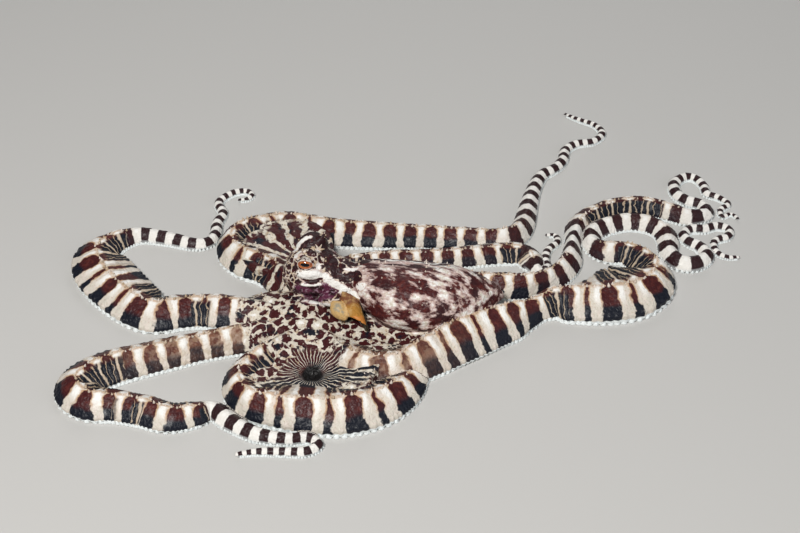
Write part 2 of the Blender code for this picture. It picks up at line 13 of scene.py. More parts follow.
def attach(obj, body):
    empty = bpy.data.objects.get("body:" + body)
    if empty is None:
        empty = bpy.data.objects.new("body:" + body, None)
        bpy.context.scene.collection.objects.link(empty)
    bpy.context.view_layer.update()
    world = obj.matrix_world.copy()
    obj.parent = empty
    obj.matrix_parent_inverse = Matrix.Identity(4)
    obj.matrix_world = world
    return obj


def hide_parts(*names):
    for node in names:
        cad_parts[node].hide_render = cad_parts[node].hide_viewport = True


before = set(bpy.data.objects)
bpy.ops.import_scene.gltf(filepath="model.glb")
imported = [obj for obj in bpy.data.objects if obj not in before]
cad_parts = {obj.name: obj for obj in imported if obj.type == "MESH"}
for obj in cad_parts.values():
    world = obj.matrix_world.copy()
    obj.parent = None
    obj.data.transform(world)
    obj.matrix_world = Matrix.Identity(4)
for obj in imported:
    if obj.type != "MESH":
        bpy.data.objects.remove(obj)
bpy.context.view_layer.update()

MM = 0.001
# From the frame in which the routes are written to the model's own, whose box is centred on the origin.
CENTRE_SHIFT = (-4.31, -0.8)
VOXEL = 0.4
# How far the fused skin is pulled back to the smooth shapes that it was fused from, as a share of the gap.
SNAP = 0.6
# The farthest that a row of suckers lies from an arm's middle.
SUCKER_REACH = 9.5

# Each arm is a route of rows: x, y, crest height, width to the left and to the right of the crest, as seen
# from the root. Where both widths are the same, the row gives it once.
ARMS = {
    "arm_l1": [
        (-39, -28, 7, 4), (-47, -27, 8, 7, 6), (-56, -25, 8, 8, 7), (-65, -24, 7.5, 8, 7),
        (-73, -25, 7.5, 8, 7.5), (-80, -26, 7.5, 8.5, 9), (-87, -22, 7.5, 8.5, 10),
        (-94, -14, 7, 9.5, 10.5), (-100, -5, 6.5, 10), (-103, 4, 6, 8), (-99, 11, 5.5, 4.5, 6),
        (-90, 15, 4.5, 3.5), (-79, 13, 4, 3), (-71, 10.5, 3.5, 2.6), (-66.2, 11.5, 3.2, 2.3),
        (-64, 16, 3, 2.1), (-64, 22, 2.8, 2), (-62.5, 28, 2.6, 1.8), (-64.5, 34, 2.4, 1.6),
        (-61, 39, 2.3, 1.5), (-56, 41, 2.1, 1.3), (-53, 39, 1.9, 1.1), (-54.5, 36.5, 1.6, 0.9),
        (-58, 36, 1.2, 0.7)],
    "arm_l2": [
        (-38, -35, 7, 4), (-46, -37.5, 8, 6), (-55, -39.5, 7.5, 6, 6.5), (-64, -42, 7, 6, 6.5),
        (-73, -45, 7, 6.5, 7), (-82, -48, 7, 7), (-91, -51, 7, 8, 7), (-98, -56, 7, 8, 7),
        (-100, -62, 7, 8, 7), (-95, -67, 7, 8, 7), (-87, -68, 6.5, 6, 6.5), (-78, -70, 6.5, 5.5, 6.5),
        (-70, -73, 6, 5.5, 6), (-62, -71.5, 5, 5), (-57, -70, 4, 3.6, 4), (-51, -75, 3.8, 3, 3.4),
        (-43, -80, 3.6, 2.6, 3), (-34, -82, 3.3, 2.2), (-28, -81.5, 3, 2), (-24.5, -84, 2.8, 1.8),
        (-28, -87, 2.6, 1.8), (-36, -87, 2.4, 1.6), (-43, -87, 2, 1.3), (-49, -88, 1.4, 0.8)],
    "arm_l3": [
        (-33, -39, 7, 4), (-38, -44, 8, 7, 5.5), (-44, -49, 8.5, 10, 5.5), (-48.5, -55, 8.5, 12, 5.5),
        (-49.5, -62, 8.5, 12, 5.5), (-45.5, -68, 8.5, 12, 5.5), (-37, -71, 9, 12, 6.5),
        (-27, -72, 9, 12, 8), (-17, -71.5, 9, 11, 9), (-7, -68, 8.5, 9, 8.5), (0, -61.5, 7, 7, 7.5),
        (4.5, -54, 4.5, 5), (7.5, -46.5, 4.3, 4), (8.5, -39, 3.8, 3.2), (7, -33.5, 3.2, 2.6),
        (2, -31.5, 2.8, 2.2), (-4, -32.5, 2.4, 1.8), (-9, -35, 1.4, 0.8)],
    "arm_l4": [
        (-24, -39, 7, 4), (-21, -45, 8, 7.5, 6), (-15, -50, 8.5, 10, 7.5), (-8, -53, 8.5, 11, 7.5),
        (0, -52, 9, 9, 8), (8, -46, 10, 6, 9.5), (15, -40.5, 10.5, 5, 10.5), (22, -36, 10, 5, 10.5),
        (29, -32, 9.5, 5, 10), (36, -28.5, 9, 5, 9), (41, -26.5, 8, 5, 6), (45, -24, 7.5, 5),
        (50, -21, 8.5, 5.5, 8), (58, -20.5, 9, 8, 9), (67, -20.5, 9, 14, 9.5), (76, -18.5, 9, 17, 9.5),
        (83, -13, 8.5, 15, 8.5), (86, -6, 8, 11, 5.6), (83, 1, 7, 7, 3.4), (77, 5.5, 6, 6, 4.2),
        (70, 6.5, 5.5, 5, 3.8), (66, 10, 5, 3.2, 4), (66.5, 16, 5, 3.2, 4), (72.5, 20.5, 5, 3.4, 4),
        (80, 22.5, 5, 3.6, 4), (87, 21, 5, 3.8, 4), (91.5, 17, 4.8, 3.8, 4), (92.3, 11, 4.6, 3.8, 3.6),
        (92, 5.5, 4.5, 3.4), (95, 0.5, 4.5, 3.4, 3.6), (100, 0, 4.2, 3.2, 3.4), (104.5, 4, 3.8, 2.6, 2.8),
        (103, 9, 3.4, 2.2, 2.4), (99.5, 12, 3.2, 2), (98.5, 16, 3, 1.9), (101.5, 19, 2.8, 1.9),
        (106, 19, 2.8, 1.9), (110.5, 20.8, 2.6, 1.8), (114.5, 19, 2.4, 1.7), (113.5, 15, 2.3, 1.6),
        (109.3, 13, 2.2, 1.5), (108, 9.5, 2, 1.3), (109, 6, 1.8, 1.2), (112, 4, 1.5, 1), (116, 4, 1.2, 0.7)],
    "arm_r1": [
        (-36, -20, 7, 4), (-38.5, -12, 8.5, 5.5), (-44, -4.5, 8.5, 6.5, 8), (-51, -0.5, 8, 7, 10),
        (-56, 4, 7.5, 6, 11), (-57.5, 10, 7.5, 5, 12), (-54, 16, 7.5, 5.5, 13), (-46, 19.5, 7, 6, 14),
        (-38, 20.5, 7, 6, 13), (-28, 18.5, 6.5, 6, 9), (-17, 16.5, 6.5, 6, 7.5), (-5, 15, 6.5, 6, 6.5),
        (7, 14.5, 6, 5.5, 6), (19, 13.5, 6, 5, 5.5), (29, 12, 6.5, 4.8), (36, 11, 8, 4.5), (41, 15.5, 7, 4),
        (43.5, 22, 5, 3.8), (45, 29, 4.4, 3.4), (46.5, 36, 4, 3), (48.5, 43, 3.6, 2.6),
        (51.5, 50, 3.3, 2.4), (57, 55, 3, 2.2), (60, 60, 2.9, 2), (61.5, 66, 2.7, 1.9), (66, 70, 2.5, 1.8),
        (72, 71.5, 2.3, 1.6), (76, 76.5, 2.2, 1.5), (74, 82, 2, 1.3), (68, 86, 1.7, 1.1),
        (63, 90, 1.2, 0.7)],
    "arm_r2": [
        (-28, -18.5, 7, 4), (-24.5, -9, 7, 4.5), (-17, -2.5, 6.5, 4.5), (-5, 0.5, 6, 5, 4.5),
        (7, 1, 6, 5.2, 4.5), (19, 2.5, 5.5, 5, 4.5), (29, 4.5, 5, 4.5, 5), (37, 6.2, 4.5, 4.2, 6),
        (43, 5, 4.5, 4, 6.5), (45.5, 0, 4.2, 3.6, 4.5), (47, -3.8, 3, 2), (49.8, -2, 2.4, 1.6),
        (49.5, 3, 2.2, 1.5), (51, 8, 2.1, 1.4), (54.3, 12, 2, 1.3), (53.8, 15.8, 1.6, 1),
        (50.5, 16, 1.2, 0.7)],
    "arm_r3": [
        (-21.5, -20, 7, 4), (-13, -12.5, 6, 4), (-3, -9.5, 5.5, 3.6, 4), (7, -9, 5.5, 3.6, 4),
        (17, -9.5, 6, 4.5), (26, -11, 6.5, 5), (34, -13, 7.5, 6, 5), (41, -13.5, 8, 6, 4.5),
        (47, -11.5, 7.5, 5, 4), (52.5, -6.5, 7, 3.4, 5), (57, 1, 6.5, 3, 5), (59.5, 10, 6.5, 3, 2.8),
        (63.5, 20, 6.5, 5.5, 3.2), (73, 28, 6, 5.5, 3.4), (84, 30.5, 6, 5.5, 3.6), (93, 28.5, 5.5, 5, 3.8),
        (101, 25, 5, 3.8, 3.6), (107.5, 27, 4, 3), (107, 32, 3.6, 2.6), (102, 35, 3.4, 2.4),
        (99, 39, 3.2, 2.3), (99, 45, 3, 2.1), (103, 49, 2.8, 1.9), (107, 48.5, 2.6, 1.8),
        (109.5, 44, 2.4, 1.7), (110, 39.5, 2.3, 1.6), (114, 37, 2.1, 1.4), (116.5, 33.5, 2, 1.3),
        (113.5, 30.2, 1.8, 1.2), (113.5, 26.5, 1.6, 1), (117, 27.8, 1.4, 0.9), (119, 25, 1.2, 0.7)],
    "arm_r4": [
        (-19, -26, 7, 4), (-11, -22.5, 5.5, 4.5), (-2, -20.2, 4.5, 4), (8, -19, 4, 3.6),
        (17, -18.3, 3.4, 3), (23, -19.5, 3, 2.4), (25, -22.5, 2.8, 2), (21.5, -25, 2.4, 1.8),
        (14, -26, 2, 1.5), (6, -26.5, 1.4, 0.8)],
}

WEB_CENTRE = (-29.5, -29.5)
WEB_HEIGHT = 9.0
WEB_EDGE_HEIGHT = 2.2
# The web and the skin inside loops are low domes: heights of their flat bases, their rings and spokes.
WEB_BASE = 1.2
FAN_BASE = 0.6
DOME_RINGS = 14
WEB_SPOKES = 120
FAN_SPOKES = 96
# Reach of the web's edge from its centre, by direction in degrees.
WEB_REACH = [(0, 13), (45, 13), (90, 14), (135, 20), (160, 25), (185, 22),
             (210, 20), (235, 17), (262, 19), (285, 20), (305, 20), (330, 18)]
# Where an arm's bands fade to tan: lengths along the arm, and how far they fade there.
FADING = {
    "arm_l2": ((8, 16, 34, 46, 58), (0.5, 0.9, 0.75, 0.35, 0.0)),
    "arm_l4": ((8, 16, 40, 56), (0.4, 0.75, 0.45, 0.0)),
    "arm_r3": ((10, 30, 60), (0.4, 0.4, 0.0)),
}
FADING_NONE = ((0, 1), (0.0, 0.0))

# Skin drawn out inside a loop of an arm: middle, height there and at its edge, number of rays (below zero
# where they are broad and long), reach by direction.
FANS = [
    ((-27.5, -55.5), 0.8, 7.2, 42,
     [(0, 21), (20, 18), (45, 12), (90, 17), (135, 17), (180, 22), (225, 21), (270, 15.5), (315, 19)]),
    ((-33.0, -3.0), 5.0, 6.4, -16,
     [(0, 8), (45, 14), (90, 21), (120, 23), (150, 23), (180, 20), (205, 15), (225, 9), (270, 6), (315, 6)]),
    ((-5.0, -41.5), 4.0, 6.6, 0,
     [(0, 15), (45, 11), (90, 9), (135, 12), (180, 16), (225, 13), (270, 11), (315, 12)]),
]

# Body sections along X: x, y and z of the centre, half width, half height.
MANTLE_SECTIONS = [
    (-15, -22.0, 12.2, 6.4, 6.0), (-12, -23.4, 11.7, 9.0, 7.6), (-6, -26.0, 11.2, 12.0, 9.2),
    (2, -27.6, 10.8, 13.4, 9.7), (10, -27.7, 10.5, 13.0, 9.4), (17, -26.9, 10.4, 11.4, 8.8),
    (23, -26.0, 9.6, 9.0, 7.4), (28, -24.9, 8.8, 5.8, 5.2), (31.5, -24.0, 8.2, 3.0, 2.8),
    (33.5, -23.4, 7.8, 1.0, 1.0)]
HEAD_SECTIONS = [
    (-38.2, -18.5, 12.5, 1.4, 1.4), (-37.2, -18.4, 12.6, 4.2, 4.0), (-34.5, -18.2, 13.0, 7.4, 6.8),
    (-30, -18.0, 13.4, 8.8, 7.8), (-25, -18.4, 13.4, 8.6, 7.6), (-20, -19.8, 12.9, 7.2, 6.6),
    (-15.3, -21.8, 12.4, 6.3, 5.9), (-11, -23.5, 11.8, 5.0, 5.0)]
EYE_RADIUS = 2.7
# Each eye: centre, the way it looks, radius of the swelling that carries it, root and tip of its horn.
EYES = {
    "eye_left": ((-30.1, -22.6, 20.2), (-0.12, -0.86, 0.50), 4.7,
                 (-29.0, -20.4, 22.0), (-27.6, -20.2, 25.0)),
    "eye_right": ((-28.9, -9.2, 19.6), (-0.10, 0.86, 0.50), 5.6,
                  (-26.0, -13.0, 21.8), (-24.3, -12.9, 24.8)),
}
EYE_PROUD = 0.6
# The funnel: middles of its root and mouth, the way its slanting mouth faces, and radii.
FUNNEL_ROOT = (-16.2, -29.2, 11.2)
FUNNEL_MOUTH = (-14.2, -37.4, 7.6)
FUNNEL_FACING = (-0.45, -0.82, -0.36)
FUNNEL_RADII = (3.8, 4.7)
# How far in from the funnel's outer radius the skin stays gold round the bore, and where along the funnel
# the painted shade of the bore begins.
FUNNEL_WALL = 0.75
FUNNEL_BORE_START = 0.3
# The lobe at its side: both ends, the radii between them and the way its broad face looks.
LOBE_ENDS = ((-21.6, -32.4, 12.4), (-17.0, -37.6, 9.6))
LOBE_RADII = (0.8, 2.1, 2.7, 2.5, 1.9, 0.7)
LOBE_FACES = (0.0, -0.75, 0.65)


def unit(vectors):
    return vectors / np.linalg.norm(vectors, axis=-1, keepdims=True)


def turns(count):
    """Directions evenly round a full turn."""
    return np.linspace(0, math.tau, count, endpoint=False)


def ramp(value, low, high):
    """A smooth step from 0 at low to 1 at high."""
    t = np.clip((value - low) / (high - low), 0.0, 1.0)
    return t * t * (3 - 2 * t)


def noise(points, size, seed=0.0):
    """Smooth value noise from -1 to 1 with features of about `size` millimetres."""
    place = np.asarray(points) / size + seed * 7.31
    cell = np.floor(place)
    part = place - cell
    part = part * part * (3 - 2 * part)
    total = np.zeros(len(place))
    for corner in range(8):
        offset = np.array([corner & 1, (corner >> 1) & 1, (corner >> 2) & 1], float)
        key = (cell + offset) @ np.array([127.1, 311.7, 74.7])
        value = np.modf(np.abs(np.sin(key) * 43758.5453))[0]
        weight = np.prod(np.where(offset > 0, part, 1 - part), axis=1)
        total += value * weight
    return total * 2 - 1


def spline(rows, step):
    """A smooth curve through the rows, at every `step` of a row; the first column is the row number."""
    table = np.asarray(rows, float)
    table = np.vstack([2 * table[0] - table[1], table, 2 * table[-1] - table[-2]])
    last = len(rows) - 1
    out = []
    for u in np.linspace(0.0, last, round(last / step) + 1):
        i = min(int(u), last - 1)
        t = u - i
        a, b, c, d = table[i:i + 4]
        value = 2 * b + (c - a) * t
        value = value + (2 * a - 5 * b + 4 * c - d) * t * t
        value = value + (3 * b - a - 3 * c + d) * t ** 3
        out.append(np.concatenate([[u], 0.5 * value]))
    return np.array(out)


class Arm:
    """The smooth route of one arm, read by its length along the route in millimetres."""

    # Length of one pale and one dark band: at no width, more for each millimetre of width, and at most.
    BAND_BASE = 1.0
    BAND_PER_WIDTH = 1.6
    BAND_MOST = 7.0
    # The wider side counts towards the bands only up to this width.
    WIDTH_COUNTED = 10.0
    # The turn of the arm is averaged over this length.
    BEND_WINDOW = 8.0
    # The least that an edge moves forward in a bend, as a share of the middle's way.
    LEAST_FORWARD = 0.12

    def __init__(self, rows, seed, fading):
        fine = spline([row if len(row) == 5 else (*row, row[3]) for row in rows], 0.05)
        self.fading = fading
        self.centre = fine[:, 1:3]
        steps = np.linalg.norm(np.diff(self.centre, axis=0), axis=1)
        self.length = np.concatenate([[0.0], np.cumsum(steps)])
        self.tangent = unit(np.gradient(self.centre, axis=0))
        self.normal = np.stack([-self.tangent[:, 1], self.tangent[:, 0]], 1)
        self.height = fine[:, 3]
        self.left = self.inside_bend(fine[:, 4], 1.0)
        self.right = self.inside_bend(fine[:, 5], -1.0)
        self.bend = self.smooth_bend()
        narrow = np.minimum(fine[:, 4], fine[:, 5])
        wide = np.maximum(fine[:, 4], fine[:, 5])
        core = narrow * 0.5 + np.minimum(wide, self.WIDTH_COUNTED) * 0.5
        period = np.minimum(self.BAND_BASE + self.BAND_PER_WIDTH * core, self.BAND_MOST)
        steps = np.diff(self.length) / ((period[1:] + period[:-1]) / 2)
        self.phase = seed * 0.37 + np.concatenate([[0.0], np.cumsum(steps)])

    def inside_bend(self, width, side):
        """The width, held back on the inner side of a bend so that the edge never doubles back."""
        width = np.array(width)
        for _ in range(60):
            edge = self.centre + self.normal * (side * width)[:, None]
            forward = (np.diff(edge, axis=0) * self.tangent[:-1]).sum(1)
            tight = forward < self.LEAST_FORWARD * np.diff(self.length)
            if not tight.any():
                break
            held = np.zeros(len(width), bool)
            held[:-1] |= tight
            held[1:] |= tight
            width[held] *= 0.97
        smooth = np.array(width)
        for _ in range(30):
            smooth[1:-1] = np.minimum(width[1:-1], (smooth[:-2] + smooth[2:]) / 2)
        return smooth

    def smooth_bend(self):
        """Turn per millimetre, averaged along the route; positive where the arm turns left."""
        angle = np.unwrap(np.arctan2(self.tangent[:, 1], self.tangent[:, 0]))
        before = np.interp(self.length - self.BEND_WINDOW / 2, self.length, angle)
        after = np.interp(self.length + self.BEND_WINDOW / 2, self.length, angle)
        return (after - before) / self.BEND_WINDOW

    def at(self, column, length):
        if column.ndim == 1:
            return np.interp(length, self.length, column)
        return np.stack([np.interp(length, self.length, column[:, k]) for k in range(column.shape[1])], -1)

    def mean_width(self, length):
        return float(self.at(self.left, length) + self.at(self.right, length)) / 2


def underside(width):
    """Height of an arm's flat underside over the floor: thick arms stand on taller suckers."""
    return 0.45 + 0.1 * width


class Surface:
    """A surface in millimetres: points, triangles and, for arms, what each point says about the arm."""

    def __init__(self, points, faces, marks=None):
        self.points = np.asarray(points, float)
        self.faces = faces
        self.marks = marks


def wall_faces(rows, columns):
    """Triangles between rings of points, open at both ends."""
    faces = []
    for row in range(rows - 1):
        for column in range(columns):
            a = row * columns + column
            b = row * columns + (column + 1) % columns
            faces.append((a, b, b + columns))
            faces.append((a, b + columns, a + columns))
    return faces


def tube_faces(rows, columns):
    """Triangles over a closed tube, with a middle point at each end."""
    faces = wall_faces(rows, columns)
    first = rows * columns
    for column in range(columns):
        other = (column + 1) % columns
        faces.append((first, other, column))
        last_row = (rows - 1) * columns
        faces.append((first + 1, last_row + column, last_row + other))
    return faces


def tube(rings, marks=None):
    """A closed surface through rings of equal numbers of points."""
    rings = np.asarray(rings, float)
    count, sides, _ = rings.shape
    points = np.vstack([rings.reshape(-1, 3), rings[0].mean(0), rings[-1].mean(0)])
    if marks is not None:
        marks = np.asarray(marks, float)
        size = marks.shape[-1]
        marks = np.vstack([marks.reshape(-1, size), marks[0].mean(0), marks[-1].mean(0)])
    return Surface(points, tube_faces(count, sides), marks)


# Points across the upper side of an arm, and the length between its sections.
TOP_STATIONS = 25
SECTION_STEP = 0.6
# Turn per millimetre at which fine lines begin inside a bend, and over which they become full.
LINES_FROM = 0.012
LINES_OVER = 0.02


def arm_surface(arm):
    """The whole arm as one smooth tube, with its marks at each point.

    The marks are the band phase, the place across (0 crest, 1 rim, 2 belly), the mean width, how far the
    point lies inside a bend, the length along the arm and how far the bands are faded.
    """
    count = int(arm.length[-1] / SECTION_STEP)
    across = np.sin(np.linspace(-math.pi / 2, math.pi / 2, TOP_STATIONS))
    across = 0.5 * across + 0.5 * np.linspace(-1, 1, TOP_STATIONS)
    rings = []
    marks = []
    for length in np.linspace(0.0, arm.length[-1], count):
        centre = arm.at(arm.centre, length)
        normal = unit(arm.at(arm.normal, length))
        left = float(arm.at(arm.left, length))
        right = float(arm.at(arm.right, length))
        height = float(arm.at(arm.height, length))
        bend = float(arm.at(arm.bend, length))
        phase = float(arm.at(arm.phase, length))
        mean = (left + right) / 2
        faded = float(np.interp(length, *arm.fading))
        under = underside(mean)
        edge = under + 0.12 * mean + 0.3
        power = min(2.1, max(1.25, 2.3 - 0.13 * mean))
        ring = []
        mark = []
        thick = min(1.0, max(0.0, (mean - 3.5) / 1.5))
        for station in across:
            wide = left if station > 0 else right
            rise = edge + (height - edge) * (1 - abs(station) ** power)
            ring.append((*(centre + normal * wide * station), rise))
            turn = bend if station > 0 else -bend
            fan = thick * min(1.0, max(0.0, (turn - LINES_FROM) / LINES_OVER))
            mark.append((phase, abs(station), mean, fan, length, faded))
        skirt = min(1.0, max(0.0, (mean - 2.5) / 1.5))
        low = under + (0.35 - under) * skirt
        profile = ((1.0, 1.06, (edge + low) / 2), (0.985, 1.1, low + 0.15), (0.94, 1.14, low),
                   (0.88, 1.18, low + 0.1), (0.8, 1.24, under), (0.4, 1.6, under), (0.0, 2.0, under))
        for share, depth, level in profile:
            ring.append((*(centre + normal * left * share), level))
            mark.append((phase, depth, mean, 0.0, length, faded))
        for share, depth, level in profile[-2::-1]:
            ring.append((*(centre - normal * right * share), level))
            mark.append((phase, depth, mean, 0.0, length, faded))
        rings.append(ring)
        marks.append(mark)
    return tube(rings, marks)


def section_surface(sections, sides, step):
    """A body through upright elliptical sections along X."""
    turn = turns(sides)
    rings = []
    for _, x, y, z, wide, high in spline(sections, step):
        wide = max(wide, 0.3)
        high = max(high, 0.3)
        level = np.maximum(0.4, z + high * np.sin(turn))
        rings.append(np.stack([np.full(sides, x), y + wide * np.cos(turn), level], 1))
    return tube(rings)


def reach_at(table, angle):
    """The reach in a direction, from a table of directions in degrees and reaches."""
    turns = [turn for turn, _ in table] + [360 + table[0][0]]
    reaches = [reach for _, reach in table] + [table[0][1]]
    return np.interp(np.degrees(angle) % 360, turns, reaches)


def dome(centre, heights, reaches, base):
    """A low closed dome: rings of points from its middle outwards, over a flat base."""
    spokes = reaches.shape[1]
    turn = turns(spokes)
    rings = []
    for height, reach in zip(heights, reaches):
        east = centre[0] + reach * np.cos(turn)
        north = centre[1] + reach * np.sin(turn)
        rings.append(np.stack([east, north, np.broadcast_to(height, (spokes,))], 1))
    rim = rings[-1].copy()
    rim[:, 2] = base
    rings.append(rim)
    return tube(rings)


def web_surface():
    reach = reach_at(WEB_REACH, turns(WEB_SPOKES))
    shares = np.linspace(0.04, 1.0, DOME_RINGS)
    heights = WEB_EDGE_HEIGHT + (WEB_HEIGHT - WEB_EDGE_HEIGHT) * (1 - shares ** 2)
    return dome(WEB_CENTRE, heights, shares[:, None] * reach[None, :], WEB_BASE)


def fan_surface(fan):
    centre, low, high, _, table = fan
    reach = reach_at(table, turns(FAN_SPOKES))
    shares = np.linspace(0.03, 1.0, DOME_RINGS)
    return dome(centre, low + (high - low) * shares ** 0.7, shares[:, None] * reach[None, :], FAN_BASE)


def ball(centre, radii, sides=32):
    """An ellipsoid along the frame's axes."""
    turn = turns(sides)
    rings = []
    for tilt in np.linspace(-1.53, 1.53, sides // 2):
        rings.append(np.stack([centre[0] + radii[0] * math.cos(tilt) * np.cos(turn),
                               centre[1] + radii[1] * math.cos(tilt) * np.sin(turn),
                               np.full(sides, centre[2] + radii[2] * math.sin(tilt))], 1))
    return tube(rings)


def axes_about(axis):
    """The axis at length one, and two directions across it: level, and upwards."""
    axis = unit(np.asarray(axis, float))
    across = unit(np.cross(axis, (0.0, 0.0, 1.0)))
    return axis, across, np.cross(across, axis)


def rounds(places, radii, axis, sides):
    """Circles of points about an axis."""
    _, across, upward = axes_about(axis)
    turn = turns(sides)
    circle = np.cos(turn)[:, None] * across + np.sin(turn)[:, None] * upward
    return [np.asarray(place) + circle * radius for place, radius in zip(places, radii)]


def spindle(start, end, radii, sides=20):
    start = np.asarray(start, float)
    end = np.asarray(end, float)
    return tube(rounds(np.linspace(start, end, len(radii)), radii, end - start, sides))


def funnel_surface():
    """A flared tube with an open mouth: down the outside, round the lip and back up the bore."""
    root = np.asarray(FUNNEL_ROOT)
    mouth = np.asarray(FUNNEL_MOUTH)
    shares = (0.0, 0.3, 0.6, 0.85, 1.0, 1.04, 1.0, 0.8, 0.5, 0.35)
    outer = FUNNEL_RADII[1]
    radii = (FUNNEL_RADII[0], 4.3, 4.6, outer, outer, outer - 0.5, outer - 1.0, 3.2, 2.4, 0.9)
    places = [root + (mouth - root) * share for share in shares]
    return tube(rounds(places, radii, np.asarray(FUNNEL_FACING), 40))


# Small forms of the face: centre and radii. First the left side, from the brow down over the cheek and the
# lip of its fold to the plum patch and the skin beside the funnel, and then the right side's cheek.
FACE_FORMS = [
    ((-29.6, -20.8, 22.1), (3.8, 1.6, 1.4)),
    ((-29.2, -24.7, 17.7), (4.5, 2.0, 2.0)),
    ((-28.5, -26.6, 15.1), (3.9, 1.2, 0.7)),
    ((-27.4, -25.6, 12.6), (6.4, 1.9, 2.4)),
    ((-21.5, -28.6, 10.2), (5.0, 2.6, 2.2)),
    ((-16.5, -29.0, 12.6), (4.0, 2.0, 1.6)),
    ((-27.0, -10.4, 18.2), (4.3, 1.6, 1.6)),
    ((-26.4, -9.6, 13.4), (6.0, 1.6, 2.2)),
]


def head_surfaces():
    shapes = [section_surface(HEAD_SECTIONS, 64, 0.1)]
    for centre, look, swelling, horn_root, horn_tip in EYES.values():
        look = unit(np.asarray(look, float))
        back = np.asarray(centre) - look * (swelling - EYE_RADIUS + EYE_PROUD)
        shapes.append(ball(back, (swelling,) * 3, 40))
        shapes.append(spindle(horn_root, horn_tip, (2.2, 1.8, 1.3, 0.8, 0.35)))
    shapes += [ball(centre, radii, 32) for centre, radii in FACE_FORMS]
    return shapes


def joined(shapes):
    """Points and triangles of several surfaces together."""
    points = np.vstack([shape.points for shape in shapes])
    faces = []
    start = 0
    for shape in shapes:
        faces += [tuple(index + start for index in face) for face in shape.faces]
        start += len(shape.points)
    return points, faces


def placed(name, data):
    """A new object of the scene with this mesh, light or camera."""
    item = bpy.data.objects.new(name, data)
    bpy.context.scene.collection.objects.link(item)
    return item


def write_vectors(mesh, name, values):
    layer = mesh.attributes.new(name, "FLOAT_VECTOR", "POINT")
    layer.data.foreach_set("vector", values.astype(np.float32).ravel())


def mesh_from(name, points, faces):
    mesh = bpy.data.meshes.new(name)
    shift = np.array([*CENTRE_SHIFT, 0.0])
    mesh.from_pydata(((np.asarray(points) + shift) * MM).tolist(), [], faces)
    return mesh


def fused(shapes):
    """All surfaces as one skin of even quads; returns its points in millimetres and its faces."""
    points, faces = joined(shapes)
    mesh = mesh_from("fusing", points, faces)
    item = placed("fusing", mesh)
    remesh = item.modifiers.new("Fuse", "REMESH")
    remesh.mode = "VOXEL"
    remesh.voxel_size = VOXEL * MM
    smooth = item.modifiers.new("Smooth", "SMOOTH")
    smooth.iterations = 2
    smooth.factor = 0.5
    graph = bpy.context.evaluated_depsgraph_get()
    result = bpy.data.meshes.new_from_object(item.evaluated_get(graph))
    bpy.data.objects.remove(item)
    coordinates = np.empty(len(result.vertices) * 3)
    result.vertices.foreach_get("co", coordinates)
    corners = np.empty(len(result.loops), np.int32)
    result.loops.foreach_get("vertex_index", corners)
    bpy.data.meshes.remove(result)
    points = coordinates.reshape(-1, 3) / MM - np.array([*CENTRE_SHIFT, 0.0])
    return points, corners.reshape(-1, 4)


def nearest(tree, points):
    """The nearest place on a surface, the triangle there and the distance, for every point."""
    places = np.empty((len(points), 3))
    index = np.empty(len(points), int)
    gap = np.empty(len(points))
    for row, point in enumerate(points.tolist()):
        place, _, face, distance = tree.find_nearest(point)
        places[row] = place
        index[row] = face
        gap[row] = distance
    return places, index, gap


def read_marks(places, index, points, faces, marks):
    """The marks at places on triangles, blended between the corners."""
    corners = np.asarray(faces)[index]
    a, b, c = points[corners[:, 0]], points[corners[:, 1]], points[corners[:, 2]]
    whole = np.linalg.norm(np.cross(b - a, c - a), axis=1)[:, None] + 1e-9
    share_b = np.linalg.norm(np.cross(places - a, c - a), axis=1)[:, None] / whole
    share_c = np.linalg.norm(np.cross(places - a, b - a), axis=1)[:, None] / whole
    share_a = 1 - share_b - share_c
    return share_a * marks[corners[:, 0]] + share_b * marks[corners[:, 1]] + share_c * marks[corners[:, 2]]


def spread(values, edges, times):
    """Values averaged with their neighbours a number of times."""
    first, second = edges[:, 0], edges[:, 1]
    count = len(values)
    degree = np.bincount(first, minlength=count) + np.bincount(second, minlength=count)
    values = np.array(values, float)
    for _ in range(times):
        around = np.bincount(first, values[second], count) + np.bincount(second, values[first], count)
        values = 0.5 * values + 0.5 * around / np.maximum(degree, 1)
    return values


def quad_normals(points, quads):
    diagonal = np.cross(points[quads[:, 2]] - points[quads[:, 0]], points[quads[:, 3]] - points[quads[:, 1]])
    normals = np.zeros_like(points)
    for corner in range(4):
        for axis in range(3):
            normals[:, axis] += np.bincount(quads[:, corner], diagonal[:, axis], len(points))
    return normals / (np.linalg.norm(normals, axis=1, keepdims=True) + 1e-12)


def quad_edges(quads):
    pairs = np.vstack([quads[:, [k, (k + 1) % 4]] for k in range(4)])
    pairs.sort(axis=1)
    return np.unique(pairs, axis=0)


# Kinds of mark on the face. A fold is a dark line that parts the pale marks.
PALE, PLUM_MARK, NIGHT_MARK, FOLD_MARK = 0, 1, 2, 3
